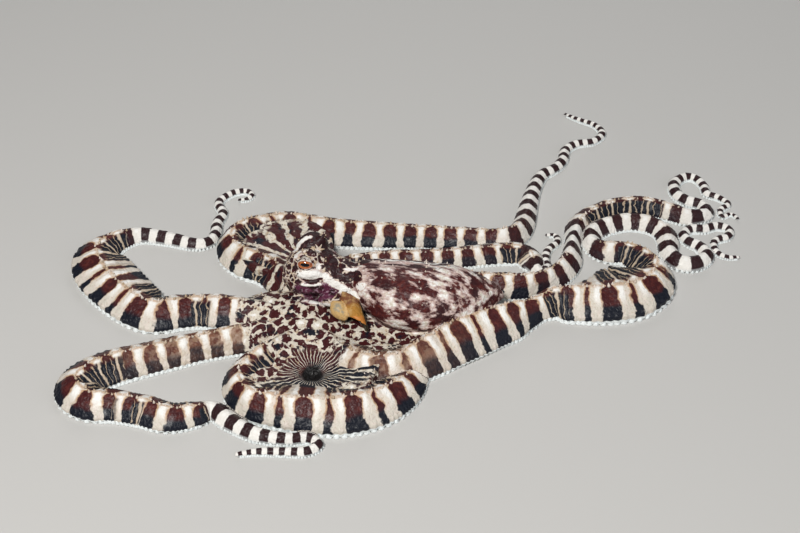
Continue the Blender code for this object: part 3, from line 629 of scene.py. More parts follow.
# Marks on the head and the front of the mantle, by kind: centre and radii of each.
FACE_MARKS = {
    PALE: [
        ((-29.2, -25.6, 17.8), (5.0, 3.0, 2.3)), ((-28.3, -27.2, 15.2), (4.0, 2.0, 0.8)),
        ((-31.5, -27.6, 9.6), (3.2, 1.6, 0.7)), ((-27.0, -28.6, 9.4), (3.6, 1.4, 0.7)),
        ((-22.0, -30.4, 9.4), (4.6, 2.6, 1.3)), ((-24.4, -25.6, 17.4), (2.0, 1.8, 1.2)),
        ((-22.8, -26.0, 16.2), (2.0, 1.8, 1.2)), ((-21.0, -26.7, 15.0), (2.2, 2.0, 1.2)),
        ((-19.0, -27.4, 14.0), (2.4, 2.2, 1.3)), ((-17.0, -28.6, 13.3), (2.6, 2.4, 1.4)),
        ((-14.8, -29.8, 13.0), (2.8, 2.4, 1.5)), ((-31.4, -20.2, 21.8), (4.4, 1.9, 1.5)),
        ((-26.3, -23.4, 19.6), (1.1, 1.4, 1.5)), ((-27.6, -17.6, 20.8), (2.2, 1.2, 1.2)),
        ((-14.4, -23.2, 18.2), (4.4, 0.8, 0.9)), ((-10.6, -29.6, 16.4), (4.4, 1.9, 1.8)),
        ((-34.0, -14.4, 19.6), (1.2, 1.8, 1.8)), ((-33.2, -14.0, 21.2), (1.3, 1.3, 1.3)),
        ((-32.2, -13.6, 22.4), (1.4, 1.1, 1.0)), ((-31.0, -13.2, 23.2), (1.5, 1.0, 0.9)),
        ((-29.6, -12.9, 23.8), (1.6, 1.0, 0.9)), ((-28.2, -12.7, 24.2), (1.6, 1.0, 0.9)),
        ((-27.0, -9.0, 17.6), (4.4, 2.6, 1.7))],
    PLUM_MARK: [
        ((-27.2, -27.2, 12.0), (8.2, 3.6, 4.2)), ((-26.4, -8.8, 13.6), (6.6, 3.0, 2.4))],
    NIGHT_MARK: [
        ((-23.8, -17.5, 20.6), (2.4, 3.2, 2.6)), ((-22.2, -21.6, 19.6), (2.4, 3.0, 2.2)),
        ((-20.4, -24.3, 17.8), (1.9, 2.4, 1.8)), ((-17.2, -25.6, 16.7), (2.6, 1.8, 1.3)),
        ((-13.6, -25.6, 17.6), (4.0, 2.2, 1.5)), ((-14.0, -20.4, 19.0), (4.6, 1.5, 1.6)),
        ((-29.0, -13.0, 22.0), (6.8, 4.4, 4.2))],
    FOLD_MARK: [
        ((-30.7, -26.6, 16.5), (1.4, 2.0, 0.40)), ((-28.9, -26.8, 16.0), (1.7, 2.0, 0.50)),
        ((-27.0, -26.8, 16.2), (1.6, 2.0, 0.50)), ((-25.6, -26.6, 16.8), (1.0, 2.0, 0.40))],
}


def face_marks(points):
    """How far inside each kind of mark every point lies: positive inside, negative outside."""
    out = np.full((len(points), 4), -1.0)
    for kind, places in FACE_MARKS.items():
        for centre, radii in places:
            inside = 1 - np.linalg.norm((points - np.array(centre)) / np.array(radii), axis=1)
            out[:, kind] = np.maximum(out[:, kind], inside)
    fold = out[:, FOLD_MARK]
    out[:, PALE] = np.minimum(out[:, PALE], np.where(fold > -0.3, -fold, 1.0))
    out[:, NIGHT_MARK] = np.maximum(out[:, NIGHT_MARK], fold)
    return out[:, :3]


def funnel_marks(points):
    """Share of the way along the funnel, below zero inside its bore; two and more across its lobe."""
    root = np.asarray(FUNNEL_ROOT)
    axis = np.asarray(FUNNEL_MOUTH) - root
    along = (points - root) @ axis / (axis @ axis)
    from_axis = np.linalg.norm(points - root - along[:, None] * axis, axis=1)
    radius = FUNNEL_RADII[0] + (FUNNEL_RADII[1] - FUNNEL_RADII[0]) * np.clip(along / 0.85, 0, 1)
    out = np.clip(along, 0, 1)
    out[(from_axis < radius - FUNNEL_WALL) & (along > FUNNEL_BORE_START)] = -1.0
    top, foot = (np.asarray(end) for end in LOBE_ENDS)
    middle = (top + foot) / 2
    half = (foot - top) / 2
    along_lobe = (points - middle) @ half / (half @ half)
    beside = np.cross(unit(half), LOBE_FACES)
    across_lobe = (points - middle) @ unit(beside) / max(LOBE_RADII)
    off_lobe = np.linalg.norm(points - middle - along_lobe[:, None] * half, axis=1) - max(LOBE_RADII)
    lobe = (off_lobe < from_axis - radius) & (off_lobe < 0.8)
    out[lobe] = 2.0 + np.hypot(along_lobe, across_lobe)[lobe]
    return out


def skin_shapes(arms):
    """Every surface that the skin is fused from, with the zone that each belongs to."""
    shapes = [(arm_surface(arm), "arm") for arm in arms]
    shapes.append((web_surface(), "web"))
    shapes += [(fan_surface(fan), "web") for fan in FANS]
    shapes.append((section_surface(MANTLE_SECTIONS, 72, 0.1), "mantle"))
    shapes += [(shape, "head") for shape in head_surfaces()]
    shapes.append((funnel_surface(), "funnel"))
    shapes.append((spindle(*LOBE_ENDS, LOBE_RADII, 28), "funnel"))
    return shapes


class Skin:
    """The growing skin: points and faces in millimetres, and what the material reads at each point."""

    FIELDS = ("band", "zone", "extra", "fan", "face", "tone")

    def __init__(self, points, faces):
        self.points = points
        self.faces = [faces]
        self.values = {name: np.zeros((len(points), 3)) for name in self.FIELDS}
        self.added = []
        self.count = len(points)

    def add(self, shape, **values):
        """Note one more closed piece; settle() joins all that were noted."""
        self.added.append((np.asarray(shape.points), values))
        self.faces.append(np.asarray(shape.faces) + self.count)
        self.count += len(shape.points)

    def settle(self):
        self.points = np.vstack([self.points] + [points for points, _ in self.added])
        for name in self.FIELDS:
            parts = [np.broadcast_to(np.asarray(values.get(name, (0.0, 0.0, 0.0)), float), (len(points), 3))
                     for points, values in self.added]
            self.values[name] = np.vstack([self.values[name]] + parts)
        self.added = []


# What the material reads for pieces that are added to the fused skin.
PART_SUCKER = 1.0
PART_PAPILLA = 2.0
PART_LID = 3.0
# Shares of web, mantle and head for a piece that is all head.
HEAD_ZONE = (0, 0, 1)
# How often each zone is averaged with its neighbours, which softens its border.
ZONE_ROUNDS = {"arm": 5, "web": 5, "mantle": 3, "head": 30, "funnel": 1}
# Lengths along an arm between which the web's markings give way to the arm's bands.
ROOT_STRETCH = (9.0, 17.0)


def fan_coordinates(points):
    """Offsets of each point from the middle of the loop that it lies in or nearest to, and its rays."""
    best = np.full(len(points), 1e9)
    out = np.zeros((len(points), 3))
    for centre, _, _, rays, table in FANS:
        offset = points[:, :2] - np.array(centre)
        share = np.hypot(*offset.T) / reach_at(table, np.arctan2(offset[:, 1], offset[:, 0]))
        nearer = share < best
        best[nearer] = share[nearer]
        out[nearer, :2] = offset[nearer]
        out[nearer, 2] = rays
    return out


def relief(points, marks, zones):
    """How far the skin stands out from its smooth shape, in millimetres."""
    phase, across, width, fan, length, _ = marks.T
    arm = zones["arm"]
    period = np.abs(np.modf(phase)[0] - 0.5) * 2
    thick = ramp(width, 3.0, 5.0)
    top = 1 - ramp(across, 0.75, 1.0)
    swell = 0.28 * thick * ramp(period, 0.45, 0.9) * top * (1 - ramp(across, 0.3, 0.7) * 0.6)
    ridges = 0.16 * fan * top * ramp(across, 0.12, 0.3) * np.cos(math.tau * 4 * phase)
    lumps = 0.22 * noise(points, 2.4, 1) * thick + 0.12 * noise(points, 1.1, 2)
    rim = ramp(across, 0.86, 0.98) * (1 - ramp(across, 1.15, 1.3))
    scallops = 0.20 * rim * np.cos(math.tau * length / (0.7 + 0.16 * np.minimum(width, 9.0)))
    out = arm * (swell + ridges + lumps * top + scallops)
    web_lumps = 0.45 * noise(points, 3.2, 3) + 0.22 * noise(points, 1.3, 4)
    out += zones["web"] * web_lumps * ramp(points[:, 2], 1.0, 3.0)
    stretched = points * np.array([0.5, 1.0, 1.0])
    out += zones["mantle"] * (0.35 * noise(stretched, 3.0, 5) + 0.2 * noise(points, 1.2, 6))
    out += zones["head"] * (0.22 * noise(points, 1.8, 7) + 0.1 * noise(points, 0.9, 8))
    return out


def fused_skin(arms):
    """The smooth fused skin with its marks, zones and relief."""
    shapes = skin_shapes(arms)
    points, quads = fused([shape for shape, _ in shapes])
    all_points, all_faces = joined([shape for shape, _ in shapes])
    zone_of_face = np.concatenate([[zone] * len(shape.faces) for shape, zone in shapes])
    places, index, gap = nearest(BVHTree.FromPolygons(all_points.tolist(), all_faces), points)
    pull = np.where(gap < VOXEL, SNAP, 0.0)[:, None]
    points = points + (places - points) * pull
    zone = zone_of_face[index]

    arm_shapes = [shape for shape, name in shapes if name == "arm"]
    arm_points, arm_faces = joined(arm_shapes)
    arm_marks = np.vstack([shape.marks for shape in arm_shapes])
    places, index, _ = nearest(BVHTree.FromPolygons(arm_points.tolist(), arm_faces), points)
    marks = read_marks(places, index, arm_points, arm_faces, arm_marks)

    edges = quad_edges(quads)
    zones = {}
    for name, times in ZONE_ROUNDS.items():
        zones[name] = spread(zone == name, edges, times)
    root = 1 - ramp(marks[:, 4], *ROOT_STRETCH)
    blend = zones["arm"] * root
    zones["web"] = zones["web"] + blend
    zones["arm"] = zones["arm"] - blend

    normals = quad_normals(points, quads)
    points = points + normals * relief(points, marks, zones)[:, None]
    points[:, 2] = np.maximum(points[:, 2], 0.0)

    skin = Skin(points, quads)
    skin.values["band"] = marks[:, :3]
    skin.values["zone"] = np.stack([zones["web"], zones["mantle"], zones["head"]], 1)
    skin.values["extra"] = np.stack([marks[:, 3], zones["funnel"], np.zeros(len(points))], 1)
    skin.values["fan"] = fan_coordinates(points)
    on_mantle = zones["mantle"] > 0.5
    middle = spline(MANTLE_SECTIONS, 0.1)
    across = points[:, 1] - np.interp(points[:, 0], middle[:, 1], middle[:, 2])
    skin.values["fan"][on_mantle] = np.stack([points[:, 0], across, np.zeros(len(points))], 1)[on_mantle]
    skin.values["face"] = face_marks(points)
    skin.values["tone"][:, 0] = marks[:, 5]
    skin.values["tone"][:, 2] = funnel_marks(points)
    return skin, normals, zones


# A sucker's rings from its root to its hollow: share of its radius and share of its height.
SUCKER_RINGS = ((0.7, 1.0), (0.8, 0.6), (1.0, 0.22), (1.0, 0.06),
                (0.85, 0.0), (0.62, 0.05), (0.5, 0.4), (0.15, 0.5))
SUCKER_SIDES = 10


def sucker_shape(x, y, radius, top):
    """A cup under an arm: it widens to a soft rim on the floor round a hollow."""
    turn = turns(SUCKER_SIDES)
    rings = []
    for share, level in SUCKER_RINGS:
        size = radius * share
        height = np.full(SUCKER_SIDES, top * level)
        rings.append(np.stack([x + size * np.cos(turn), y + size * np.sin(turn), height], 1))
    return tube(rings)


# Length along an arm at which its suckers begin, and how far apart they stand, in radii.
SUCKERS_FROM = 14.0
SUCKER_SPACING = 1.72


def add_suckers(skin, arm):
    """Two rows of suckers along the arm, near its rims, from where it leaves the web."""
    for side, column in ((1.0, arm.left), (-1.0, arm.right)):
        length = SUCKERS_FROM
        while length < arm.length[-1] - 1.0:
            width = float(arm.at(column, length))
            mean = arm.mean_width(length)
            radius = 0.34 + 0.085 * min(width, 9.0)
            offset = min(width, SUCKER_REACH) - 0.66 * radius
            place = arm.at(arm.centre, length) + unit(arm.at(arm.normal, length)) * side * offset
            top = min(underside(mean) + 0.12 * mean, 1.25)
            phase = float(arm.at(arm.phase, length))
            skin.add(sucker_shape(*place, radius, top), band=(phase, 1.2, mean), extra=(0, 0, PART_SUCKER))
            length += SUCKER_SPACING * radius


# How far the small papillae keep from the pit in the middle of the first loop, whose shade is painted
# near-black.
HOLE_CLEAR = 6.0
# Star-shaped papillae between the eyes: root and reach.
STARS = [((-26.3, -16.2, 20.7), 2.0), ((-24.9, -12.8, 23.9), 1.1), ((-27.8, -20.2, 24.4), 0.9)]
STAR_RADII = (0.5, 0.42, 0.26, 0.07)
STAR_FINGERS = 6
PAPILLA_SIDES = 8
# How many papillae are scattered over each part of the body.
SCATTERED = {"web": 110, "mantle": 70, "head": 26}


def add_papillae(skin, arms, zones, normals):
    """Small pointed papillae along the crests of the thick arms, and scattered over web, mantle and head."""
    chance = np.random.RandomState(7)
    for arm in arms:
        for phase in np.arange(math.ceil(arm.phase[0] * 4) / 4, arm.phase[-1], 0.25):
            length = float(np.interp(phase, arm.phase, arm.length))
            mean = arm.mean_width(length)
            if mean < 4.0 or length < 12.0:
                continue
            length += chance.uniform(-0.5, 0.5)
            jump = chance.uniform(-0.5, 0.5)
            centre = arm.at(arm.centre, length) + arm.at(arm.normal, length) * jump
            root = np.array([*centre, float(arm.at(arm.height, length)) - 0.15])
            size = chance.uniform(0.7, 1.4) * (0.7 + 0.03 * mean)
            lean = np.array([chance.uniform(-0.3, 0.3), chance.uniform(-0.3, 0.3), 1.0]) * size
            radii = (0.42 * size + 0.1, 0.34 * size, 0.2 * size, 0.06)
            skin.add(spindle(root, root + lean, radii, PAPILLA_SIDES),
                     band=(phase, 0.0, mean), extra=(0, 0, PART_PAPILLA))
    for centre, size in STARS:
        for angle in np.arange(0, math.tau, math.tau / STAR_FINGERS):
            finger = np.array([math.cos(angle), 0.5 * math.sin(angle) - 0.4, 0.7 * math.sin(angle) + 0.5])
            skin.add(spindle(centre, np.array(centre) + size * finger, STAR_RADII, PAPILLA_SIDES),
                     zone=HEAD_ZONE, extra=(0, 0, PART_PAPILLA))
    count = len(normals)
    upward = normals[:, 2] > 0.25
    off_hole = np.hypot(*(skin.points[:count, :2] - np.array(FANS[0][0])).T) > HOLE_CLEAR
    for zone, number in SCATTERED.items():
        there = np.flatnonzero((zones[zone][:count] > 0.8) & upward & off_hole)
        for index in chance.choice(there, min(number, len(there)), replace=False):
            size = chance.uniform(0.4, 1.0)
            root = skin.points[index] - normals[index] * 0.15
            radii = (0.38 * size + 0.1, 0.3 * size, 0.18 * size, 0.06)
            skin.add(spindle(root, root + normals[index] * size, radii, PAPILLA_SIDES),
                     zone=skin.values["zone"][index], extra=(0, 0, PART_PAPILLA),
                     fan=skin.values["fan"][index])


# The open almond between the lids: half angles along the slit and across it, in degrees.
LID_OPENING = (50.0, 22.0)
# The lids' rings from the inside outwards: degrees beyond the opening and radius about the eye's centre.
# The last two lie at LID_FOOT, where the lids go under the skin, and the first few are their orange edge.
LID_RINGS = ((0.0, 2.5), (0.0, 2.82), (2.0, 2.95), (7.0, 3.02), (14.0, 3.0), (None, 2.9), (None, 2.5))
LID_FOOT = 74.0
LID_EDGE_RINGS = 3


def add_lids(skin):
    """Two soft lids round each eye, which leave a flat almond open."""
    turn = turns(56)
    opening = 1 / np.sqrt((np.cos(turn) / LID_OPENING[0]) ** 2 + (np.sin(turn) / LID_OPENING[1]) ** 2)
    for centre, look, *_ in EYES.values():
        axis, across, upward = axes_about(look)
        outward = np.cos(turn)[:, None] * across + np.sin(turn)[:, None] * upward
        rings = []
        for extra, radius in LID_RINGS:
            tilt = np.full(len(turn), math.radians(LID_FOOT))
            if extra is not None:
                tilt = np.minimum(np.radians(opening + extra), tilt)
            way = np.cos(tilt)[:, None] * axis + np.sin(tilt)[:, None] * outward
            rings.append(np.asarray(centre) + radius * way)
        rings = np.array(rings)
        count, sides, _ = rings.shape
        tone = np.zeros((count, sides, 3))
        tone[:LID_EDGE_RINGS, :, 1] = 1.0
        skin.add(Surface(rings.reshape(-1, 3), wall_faces(count, sides)), zone=HEAD_ZONE,
                 extra=(0, 0, PART_LID), tone=tone.reshape(-1, 3))


def skin_object():
    arms = [Arm(rows, seed, FADING.get(name, FADING_NONE)) for seed, (name, rows) in enumerate(ARMS.items())]
    skin, normals, zones = fused_skin(arms)
    add_papillae(skin, arms, zones, normals)
    for arm in arms:
        add_suckers(skin, arm)
    add_lids(skin)
    skin.settle()
    faces = [face for group in skin.faces for face in group.tolist()]
    mesh = mesh_from("skin", skin.points, faces)
    for name, values in skin.values.items():
        write_vectors(mesh, name, values)
    mesh.shade_smooth()
    return placed("skin", mesh)


class Value:
    """A number in a material, so that patterns are written as plain sums."""

    def __init__(self, graph, socket):
        self.graph = graph
        self.socket = socket

    def __add__(self, other):
        return self.graph.math("ADD", self, other)

    def __sub__(self, other):
        return self.graph.math("SUBTRACT", self, other)

    def __rsub__(self, other):
        return self.graph.math("SUBTRACT", other, self)

    def __mul__(self, other):
        return self.graph.math("MULTIPLY", self, other)

    def __truediv__(self, other):
        return self.graph.math("DIVIDE", self, other)

    __radd__ = __add__
    __rmul__ = __mul__


class Graph:
    """Writes the nodes of one material."""

    def __init__(self, name):
        self.material = bpy.data.materials.new(name)
        self.material.use_nodes = True
        self.tree = self.material.node_tree
        self.shader = self.tree.nodes["Principled BSDF"]
        self.place = self.node("ShaderNodeTexCoord").outputs["Object"]

    def node(self, kind, **settings):
        made = self.tree.nodes.new(kind)
        for name, value in settings.items():
            setattr(made, name, value)
        return made

    def feed(self, socket, value):
        if isinstance(value, Value):
            value = value.socket
        if isinstance(value, bpy.types.NodeSocket):
            self.tree.links.new(value, socket)
        elif isinstance(value, tuple):
            socket.default_value = (*value, 1.0)[:len(socket.default_value)]
        else:
            socket.default_value = value

    def math(self, operation, *values):
        made = self.node("ShaderNodeMath", operation=operation)
        for socket, value in zip(made.inputs, values):
            self.feed(socket, value)
        return Value(self, made.outputs[0])

    def ramp(self, value, low, high):
        """A smooth step from 0 at low to 1 at high."""
        made = self.node("ShaderNodeMapRange", interpolation_type="SMOOTHSTEP")
        for name, part in (("Value", value), ("From Min", low), ("From Max", high)):
            self.feed(made.inputs[name], part)
        return Value(self, made.outputs[0])

    def parts(self, name):
        """The three numbers of a vector attribute."""
        source = self.node("ShaderNodeAttribute", attribute_name=name)
        split = self.node("ShaderNodeSeparateXYZ")
        self.tree.links.new(source.outputs["Vector"], split.inputs[0])
        return [Value(self, output) for output in split.outputs]

    def scaled(self, vector, scale):
        made = self.node("ShaderNodeVectorMath", operation="MULTIPLY")
        self.tree.links.new(vector, made.inputs[0])
        made.inputs[1].default_value = scale
        return made.outputs[0]

    def turned(self, degrees):
        """Object coordinates turned about the upright axis."""
        made = self.node("ShaderNodeVectorRotate", rotation_type="Z_AXIS")
        made.inputs["Angle"].default_value = math.radians(degrees)
        self.tree.links.new(self.place, made.inputs["Vector"])
        return made.outputs["Vector"]

    def warped(self, size, amount):
        """The place, pushed about by noise of `size` millimetres by up to half of `amount`."""
        push = self.node("ShaderNodeTexNoise")
        self.tree.links.new(self.place, push.inputs["Vector"])
        push.inputs["Scale"].default_value = 1.0 / (size * MM)
        made = self.node("ShaderNodeVectorMath", operation="MULTIPLY_ADD")
        self.tree.links.new(push.outputs["Color"], made.inputs[0])
        made.inputs[1].default_value = (amount * MM,) * 3
        self.tree.links.new(self.place, made.inputs[2])
        return made.outputs[0]

    def noise(self, size, detail=2.0, vector=None, spread=0.5):
        """Noise from 0 to 1 with features of `size` millimetres."""
        made = self.node("ShaderNodeTexNoise")
        self.tree.links.new(vector or self.place, made.inputs["Vector"])
        made.inputs["Scale"].default_value = 1.0 / (size * MM)
        made.inputs["Detail"].default_value = detail
        made.inputs["Roughness"].default_value = spread
        return Value(self, made.outputs[0])

    def spots(self, size, low, high, detail=2.0):
        """Noise as patches: 0 where it is below low, 1 where it is above high."""
        return self.ramp(self.noise(size, detail), low, high)

    def zigzag(self, value):
        """1 at every whole number and 0 halfway between."""
        return self.math("ABSOLUTE", self.math("FRACT", value) - 0.5) * 2.0

    def cells(self, size, vector=None, feature="DISTANCE_TO_EDGE"):
        """Distance to the edge, or with F1 to the middle, of cells of `size` millimetres."""
        made = self.node("ShaderNodeTexVoronoi", feature=feature)
        self.tree.links.new(vector or self.place, made.inputs["Vector"])
        made.inputs["Scale"].default_value = 1.0 / (size * MM)
        return Value(self, made.outputs["Distance"])

    def mix(self, share, low, high):
        """A colour between two colours."""
        made = self.node("ShaderNodeMix", data_type="RGBA")
        self.feed(made.inputs[0], share)
        self.feed(made.inputs[6], low)
        self.feed(made.inputs[7], high)
        return made.outputs[2]


# Colours of the animal, in linear light.
MAROON = (0.058, 0.009, 0.010)
RED_BROWN = (0.120, 0.024, 0.019)
NAVY = (0.006, 0.008, 0.016)
NIGHT = (0.026, 0.007, 0.009)
CREAM = (0.73, 0.67, 0.57)
WHITE = (0.93, 0.91, 0.87)
RIM_WHITE = (0.90, 0.94, 0.94)
TAN = (0.50, 0.27, 0.12)
SAND = (0.54, 0.41, 0.28)
GREY = (0.50, 0.49, 0.46)
PLUM = (0.105, 0.020, 0.050)
GOLD = (0.42, 0.20, 0.035)
PALE_GOLD = (0.62, 0.41, 0.17)
UMBER = (0.20, 0.075, 0.035)
FLESH = (0.78, 0.68, 0.60)
LID_ORANGE = (0.42, 0.13, 0.05)
LILAC = (0.46, 0.30, 0.38)
TAN_BROWN = (0.26, 0.12, 0.07)
RIM_ORANGE = (0.62, 0.24, 0.05)
BORE_SHADE = (0.045, 0.035, 0.020)
OLIVE_GREY = (0.36, 0.31, 0.22)
GOLD_EDGE = (0.66, 0.42, 0.17)
PIT_SHADE = (0.004, 0.003, 0.003)
IRIS_BROWN = (0.36, 0.08, 0.02)
IRIS_ORANGE = (0.62, 0.22, 0.05)
IRIS_EDGE = (0.10, 0.03, 0.012)
PUPIL = (0.004, 0.004, 0.006)
ROSE = (0.50, 0.30, 0.27)


def arm_colour(g):
    """Bands across an arm: arched and two-toned where it is thick, with painted shade low on the flanks and
    a painted highlight near the crest, lines inside a bend, plain at the tip.
    """
    phase, across, width = g.parts("band")
    # Lines and dark skin show only where the bend is marked.
    fan = g.ramp(g.parts("extra")[0], 0.35, 0.6)
    thick = g.ramp(width, 3.2, 5.2)
    # Where a point lies in its band: place is 0 in the middle of a dark band and 1 in that of a pale one.
    turn = phase + (g.noise(5.0) - 0.5) * (0.22 + 0.2 * thick) + (g.noise(1.1) - 0.5) * 0.12
    place = g.zigzag(turn)
    side = across + (g.noise(2.2) - 0.5) * 0.12
    arch = g.math("MINIMUM", g.math("MAXIMUM", side / 0.26, 0.0), 1.0)
    arch = g.math("SQRT", 1.0 - g.math("POWER", 1.0 - arch, 2.0))
    other = g.ramp(g.math("SINE", turn * math.pi), -0.12, 0.12)
    mixed = g.ramp(width + (g.noise(16.0) - 0.5) * 4.0, 6.8, 8.2)
    half = 0.52 - mixed * (1.0 - other) * 0.33 + mixed * other * 0.14 + 0.10 * thick * across
    half = half * (1.0 - thick * (1.0 - arch))
    outer = g.ramp(half - place, -0.05, 0.05)

    # Fine pale lines inside a bend, three for each pair of bands.
    fine = g.zigzag(turn * 3.0 + (g.noise(3.0) - 0.5) * 1.2)
    lines = g.math("MAXIMUM", g.ramp(place, 0.80, 0.92), g.ramp(fine, 0.80, 0.94) * 0.8)
    inside = fan * g.ramp(side, 0.14, 0.26)
    dark = outer * (1.0 - inside) + (1.0 - lines) * inside

    # The dark bands: maroon on top, navy inside a bend, and navy low on the flanks as painted shade of the
    # arm's shadow side.
    border = side + (g.noise(1.6) - 0.5) * 0.16 + (g.noise(8.0) - 0.5) * 0.5
    # Painted shade: navy low on the flanks stands for the arm's shadow side.
    navy_shade_and_bend = thick * g.ramp(border, 0.56, 0.74)
    navy_shade_and_bend = g.math("MAXIMUM", navy_shade_and_bend, fan * g.ramp(side, 0.16, 0.38))
    reds = g.mix(g.spots(1.6, 0.44, 0.72, 3.0), MAROON, RED_BROWN)
    reds = g.mix(thick * 0.9, NIGHT, reds)
    reds = g.mix(navy_shade_and_bend, reds, NAVY)

    # The pale bands: cream, with a painted white highlight in their middle near the crest, and tan where
    # they meet the dark ones.
    # Painted highlight: white in the middle of each pale band, near the crest.
    painted_highlight = g.ramp(place, 0.60, 0.88) * (1.0 - g.ramp(across, 0.30, 0.75)) * g.ramp(across, 0.0, 0.1)
    pales = g.mix(g.spots(1.2, 0.40, 0.66, 3.0), CREAM, FLESH)
    pales = g.mix(g.spots(0.7, 0.56, 0.68, 3.0) * 0.5 * thick, pales, SAND)
    # Painted shade: the pale bands turn grey low on the flanks.
    pales = g.mix(g.ramp(across, 0.5, 0.8) * thick * 0.2, pales, GREY)
    pales = g.mix(g.math("MAXIMUM", painted_highlight, 0.8 * (1.0 - thick)), pales, WHITE)
    outline = (1.0 - g.ramp(place - half, 0.05, 0.20)) * thick * (1.0 - g.ramp(across, 0.40, 0.85))
    crest = (1.0 - g.ramp(across, 0.03, 0.12)) * thick * g.spots(1.8, 0.34, 0.56)
    pales = g.mix(g.math("MAXIMUM", outline * 0.8, crest * 0.55), pales, TAN)
    pales = g.mix(inside * 0.8, pales, SAND)

    # Where bands fade, near the roots of some arms, they turn brown and break up.
    faded, _, _ = g.parts("tone")
    blots = g.spots(2.0, 0.38, 0.62, 3.0)
    reds = g.mix(faded * (0.35 + 0.55 * blots) * (1.0 - 0.6 * navy_shade_and_bend), reds, TAN_BROWN)
    pales = g.mix(faded * (1.0 - painted_highlight) * 0.55, pales, g.mix(blots, SAND, FLESH))
    broken = faded * g.spots(2.6, 0.46, 0.58, 3.0) * (1.0 - g.ramp(border, 0.5, 0.8))
    colour = g.mix(dark * (1.0 - 0.45 * broken), pales, reds)
    thin_rim = g.ramp(across, 0.9, 1.0) * g.ramp(4.0 - width, 0.0, 1.0) * 0.5
    rim = g.math("MAXIMUM", g.ramp(across, 1.05, 1.06), thin_rim)
    return g.mix(rim, colour, RIM_WHITE)


def web_colour(g):
    """Cream rays over dark skin inside the loops, which break up outwards into a net round dark patches; the
    first loop has painted navy shade on its near side and painted near-black shade in its pit.
    """
    # Broad, long rays have a number below zero; fine is 1 for the others.
    east, north, rays = g.parts("fan")
    reach = g.math("SQRT", east * east + north * north)
    fine = 1.0 - g.ramp(-1.0 * rays, 1.0, 2.0)
    rays = g.math("ABSOLUTE", rays)
    turn = g.math("ARCTAN2", north, east) * rays / math.tau
    ray = g.zigzag(turn + (g.noise(3.5) - 0.5) * (0.7 + 0.7 * fine))
    # Fine rays reach farther along X on the near side of the loop.
    spread_of_rays = 7.5 + 12.0 * (1.0 - fine)
    long_way = g.ramp(0.3 * east - north, -2.0, 3.0) * fine
    flat_reach = g.math("SQRT", east * east * (1.0 - 0.85 * long_way) + north * north)
    near = 1.0 - g.ramp(flat_reach + (g.noise(4.0) - 0.5) * 8.0, spread_of_rays, spread_of_rays + 3.0)
    near = near * g.ramp(rays, 1.0, 2.0)
    limit = 0.79 - 0.21 * (1.0 - fine) - 0.013 * fine * reach
    rays_pale = g.ramp(ray - limit, 0.0, 0.16) * g.ramp(reach - 1.2 * (1.0 - fine), 2.8, 4.6)
    rays_pale = rays_pale * g.spots(1.3, 0.26, 0.42)

    # The net round dark patches, with pale stars in it.
    bent = g.warped(2.4, 2.6)
    net = g.ramp(g.cells(3.6, bent) - (g.noise(2.2) - 0.48) * 0.75, 0.03, 0.09)
    stars = g.cells(6.0, g.warped(1.1, 1.9), "F1")
    star = 1.0 - g.ramp(stars + (g.noise(1.0, 3.0) - 0.5) * 0.30, 0.27, 0.33)
    dark = net * (1.0 - star) * (1.0 - near) + (1.0 - rays_pale) * near
    reds = g.mix(g.spots(4.5, 0.34, 0.48), NAVY, MAROON)
    # Painted shade: navy on the near side of the first loop's pit, and near-black in its middle.
    reds = g.mix(near * fine * g.ramp(0.4 * east - north, -2.0, 3.0), reds, NAVY)
    reds = g.mix(near * fine * (1.0 - g.ramp(reach, 2.7, 3.9)), reds, PIT_SHADE)
    pales = g.mix(g.spots(1.4, 0.30, 0.52, 3.0), SAND, CREAM)
    pales = g.mix((1.0 - g.ramp(stars, 0.08, 0.20)) * (1.0 - near), pales, WHITE)
    return g.mix(dark, pales, reds)


def mantle_colour(g):
    """Maroon blotches drawn out along a pale body, with dark stripes high on its back."""
    stretched = g.scaled(g.turned(25.0), (0.52, 1.0, 1.0))
    blotch = g.noise(3.4, 4.0, stretched, 0.58)
    large = g.noise(12.0, 1.0, stretched)
    # On the mantle, this attribute holds the millimetres from its middle towards its far side. Dark stripes
    # run along that side of the back, with a white line among them.
    _, across, _ = g.parts("fan")
    across = across + (g.noise(6.0) - 0.5) * 2.4
    split = g.node("ShaderNodeSeparateXYZ")
    g.tree.links.new(g.place, split.inputs[0])
    above = g.ramp(Value(g, split.outputs[2]), 12.0 * MM, 13.5 * MM)
    back = g.ramp(across, 2.6, 4.2) * (1.0 - g.ramp(across, 9.6, 10.6)) * above
    field = blotch + (large - 0.5) * 0.10
    dark = g.ramp(field, 0.455, 0.545)
    long_noise = g.noise(3.0, 2.0, g.scaled(g.place, (0.16, 1.0, 1.0)))
    stripes = g.ramp(long_noise + (blotch - 0.5) * 0.25, 0.45, 0.52)
    dark = dark * (1.0 - back) + stripes * back
    from_line = g.math("ABSOLUTE", across - 8.4)
    line = (1.0 - g.ramp(from_line, 0.4, 0.9)) * above * g.spots(5.0, 0.36, 0.44)
    dark = dark * (1.0 - line)
    reds = g.mix(g.spots(1.6, 0.45, 0.68, 3.0), MAROON, RED_BROWN)
    reds = g.mix(g.math("MAXIMUM", g.spots(7.0, 0.52, 0.64) * 0.7, back * 0.8), reds, NIGHT)
    pales = g.mix(g.spots(1.1, 0.40, 0.58, 3.0), CREAM, WHITE)
    pales = g.mix(g.ramp(field, 0.37, 0.48) * 0.75, pales, ROSE)
    pales = g.mix(line, pales, WHITE)
    return g.mix(dark, pales, reds)


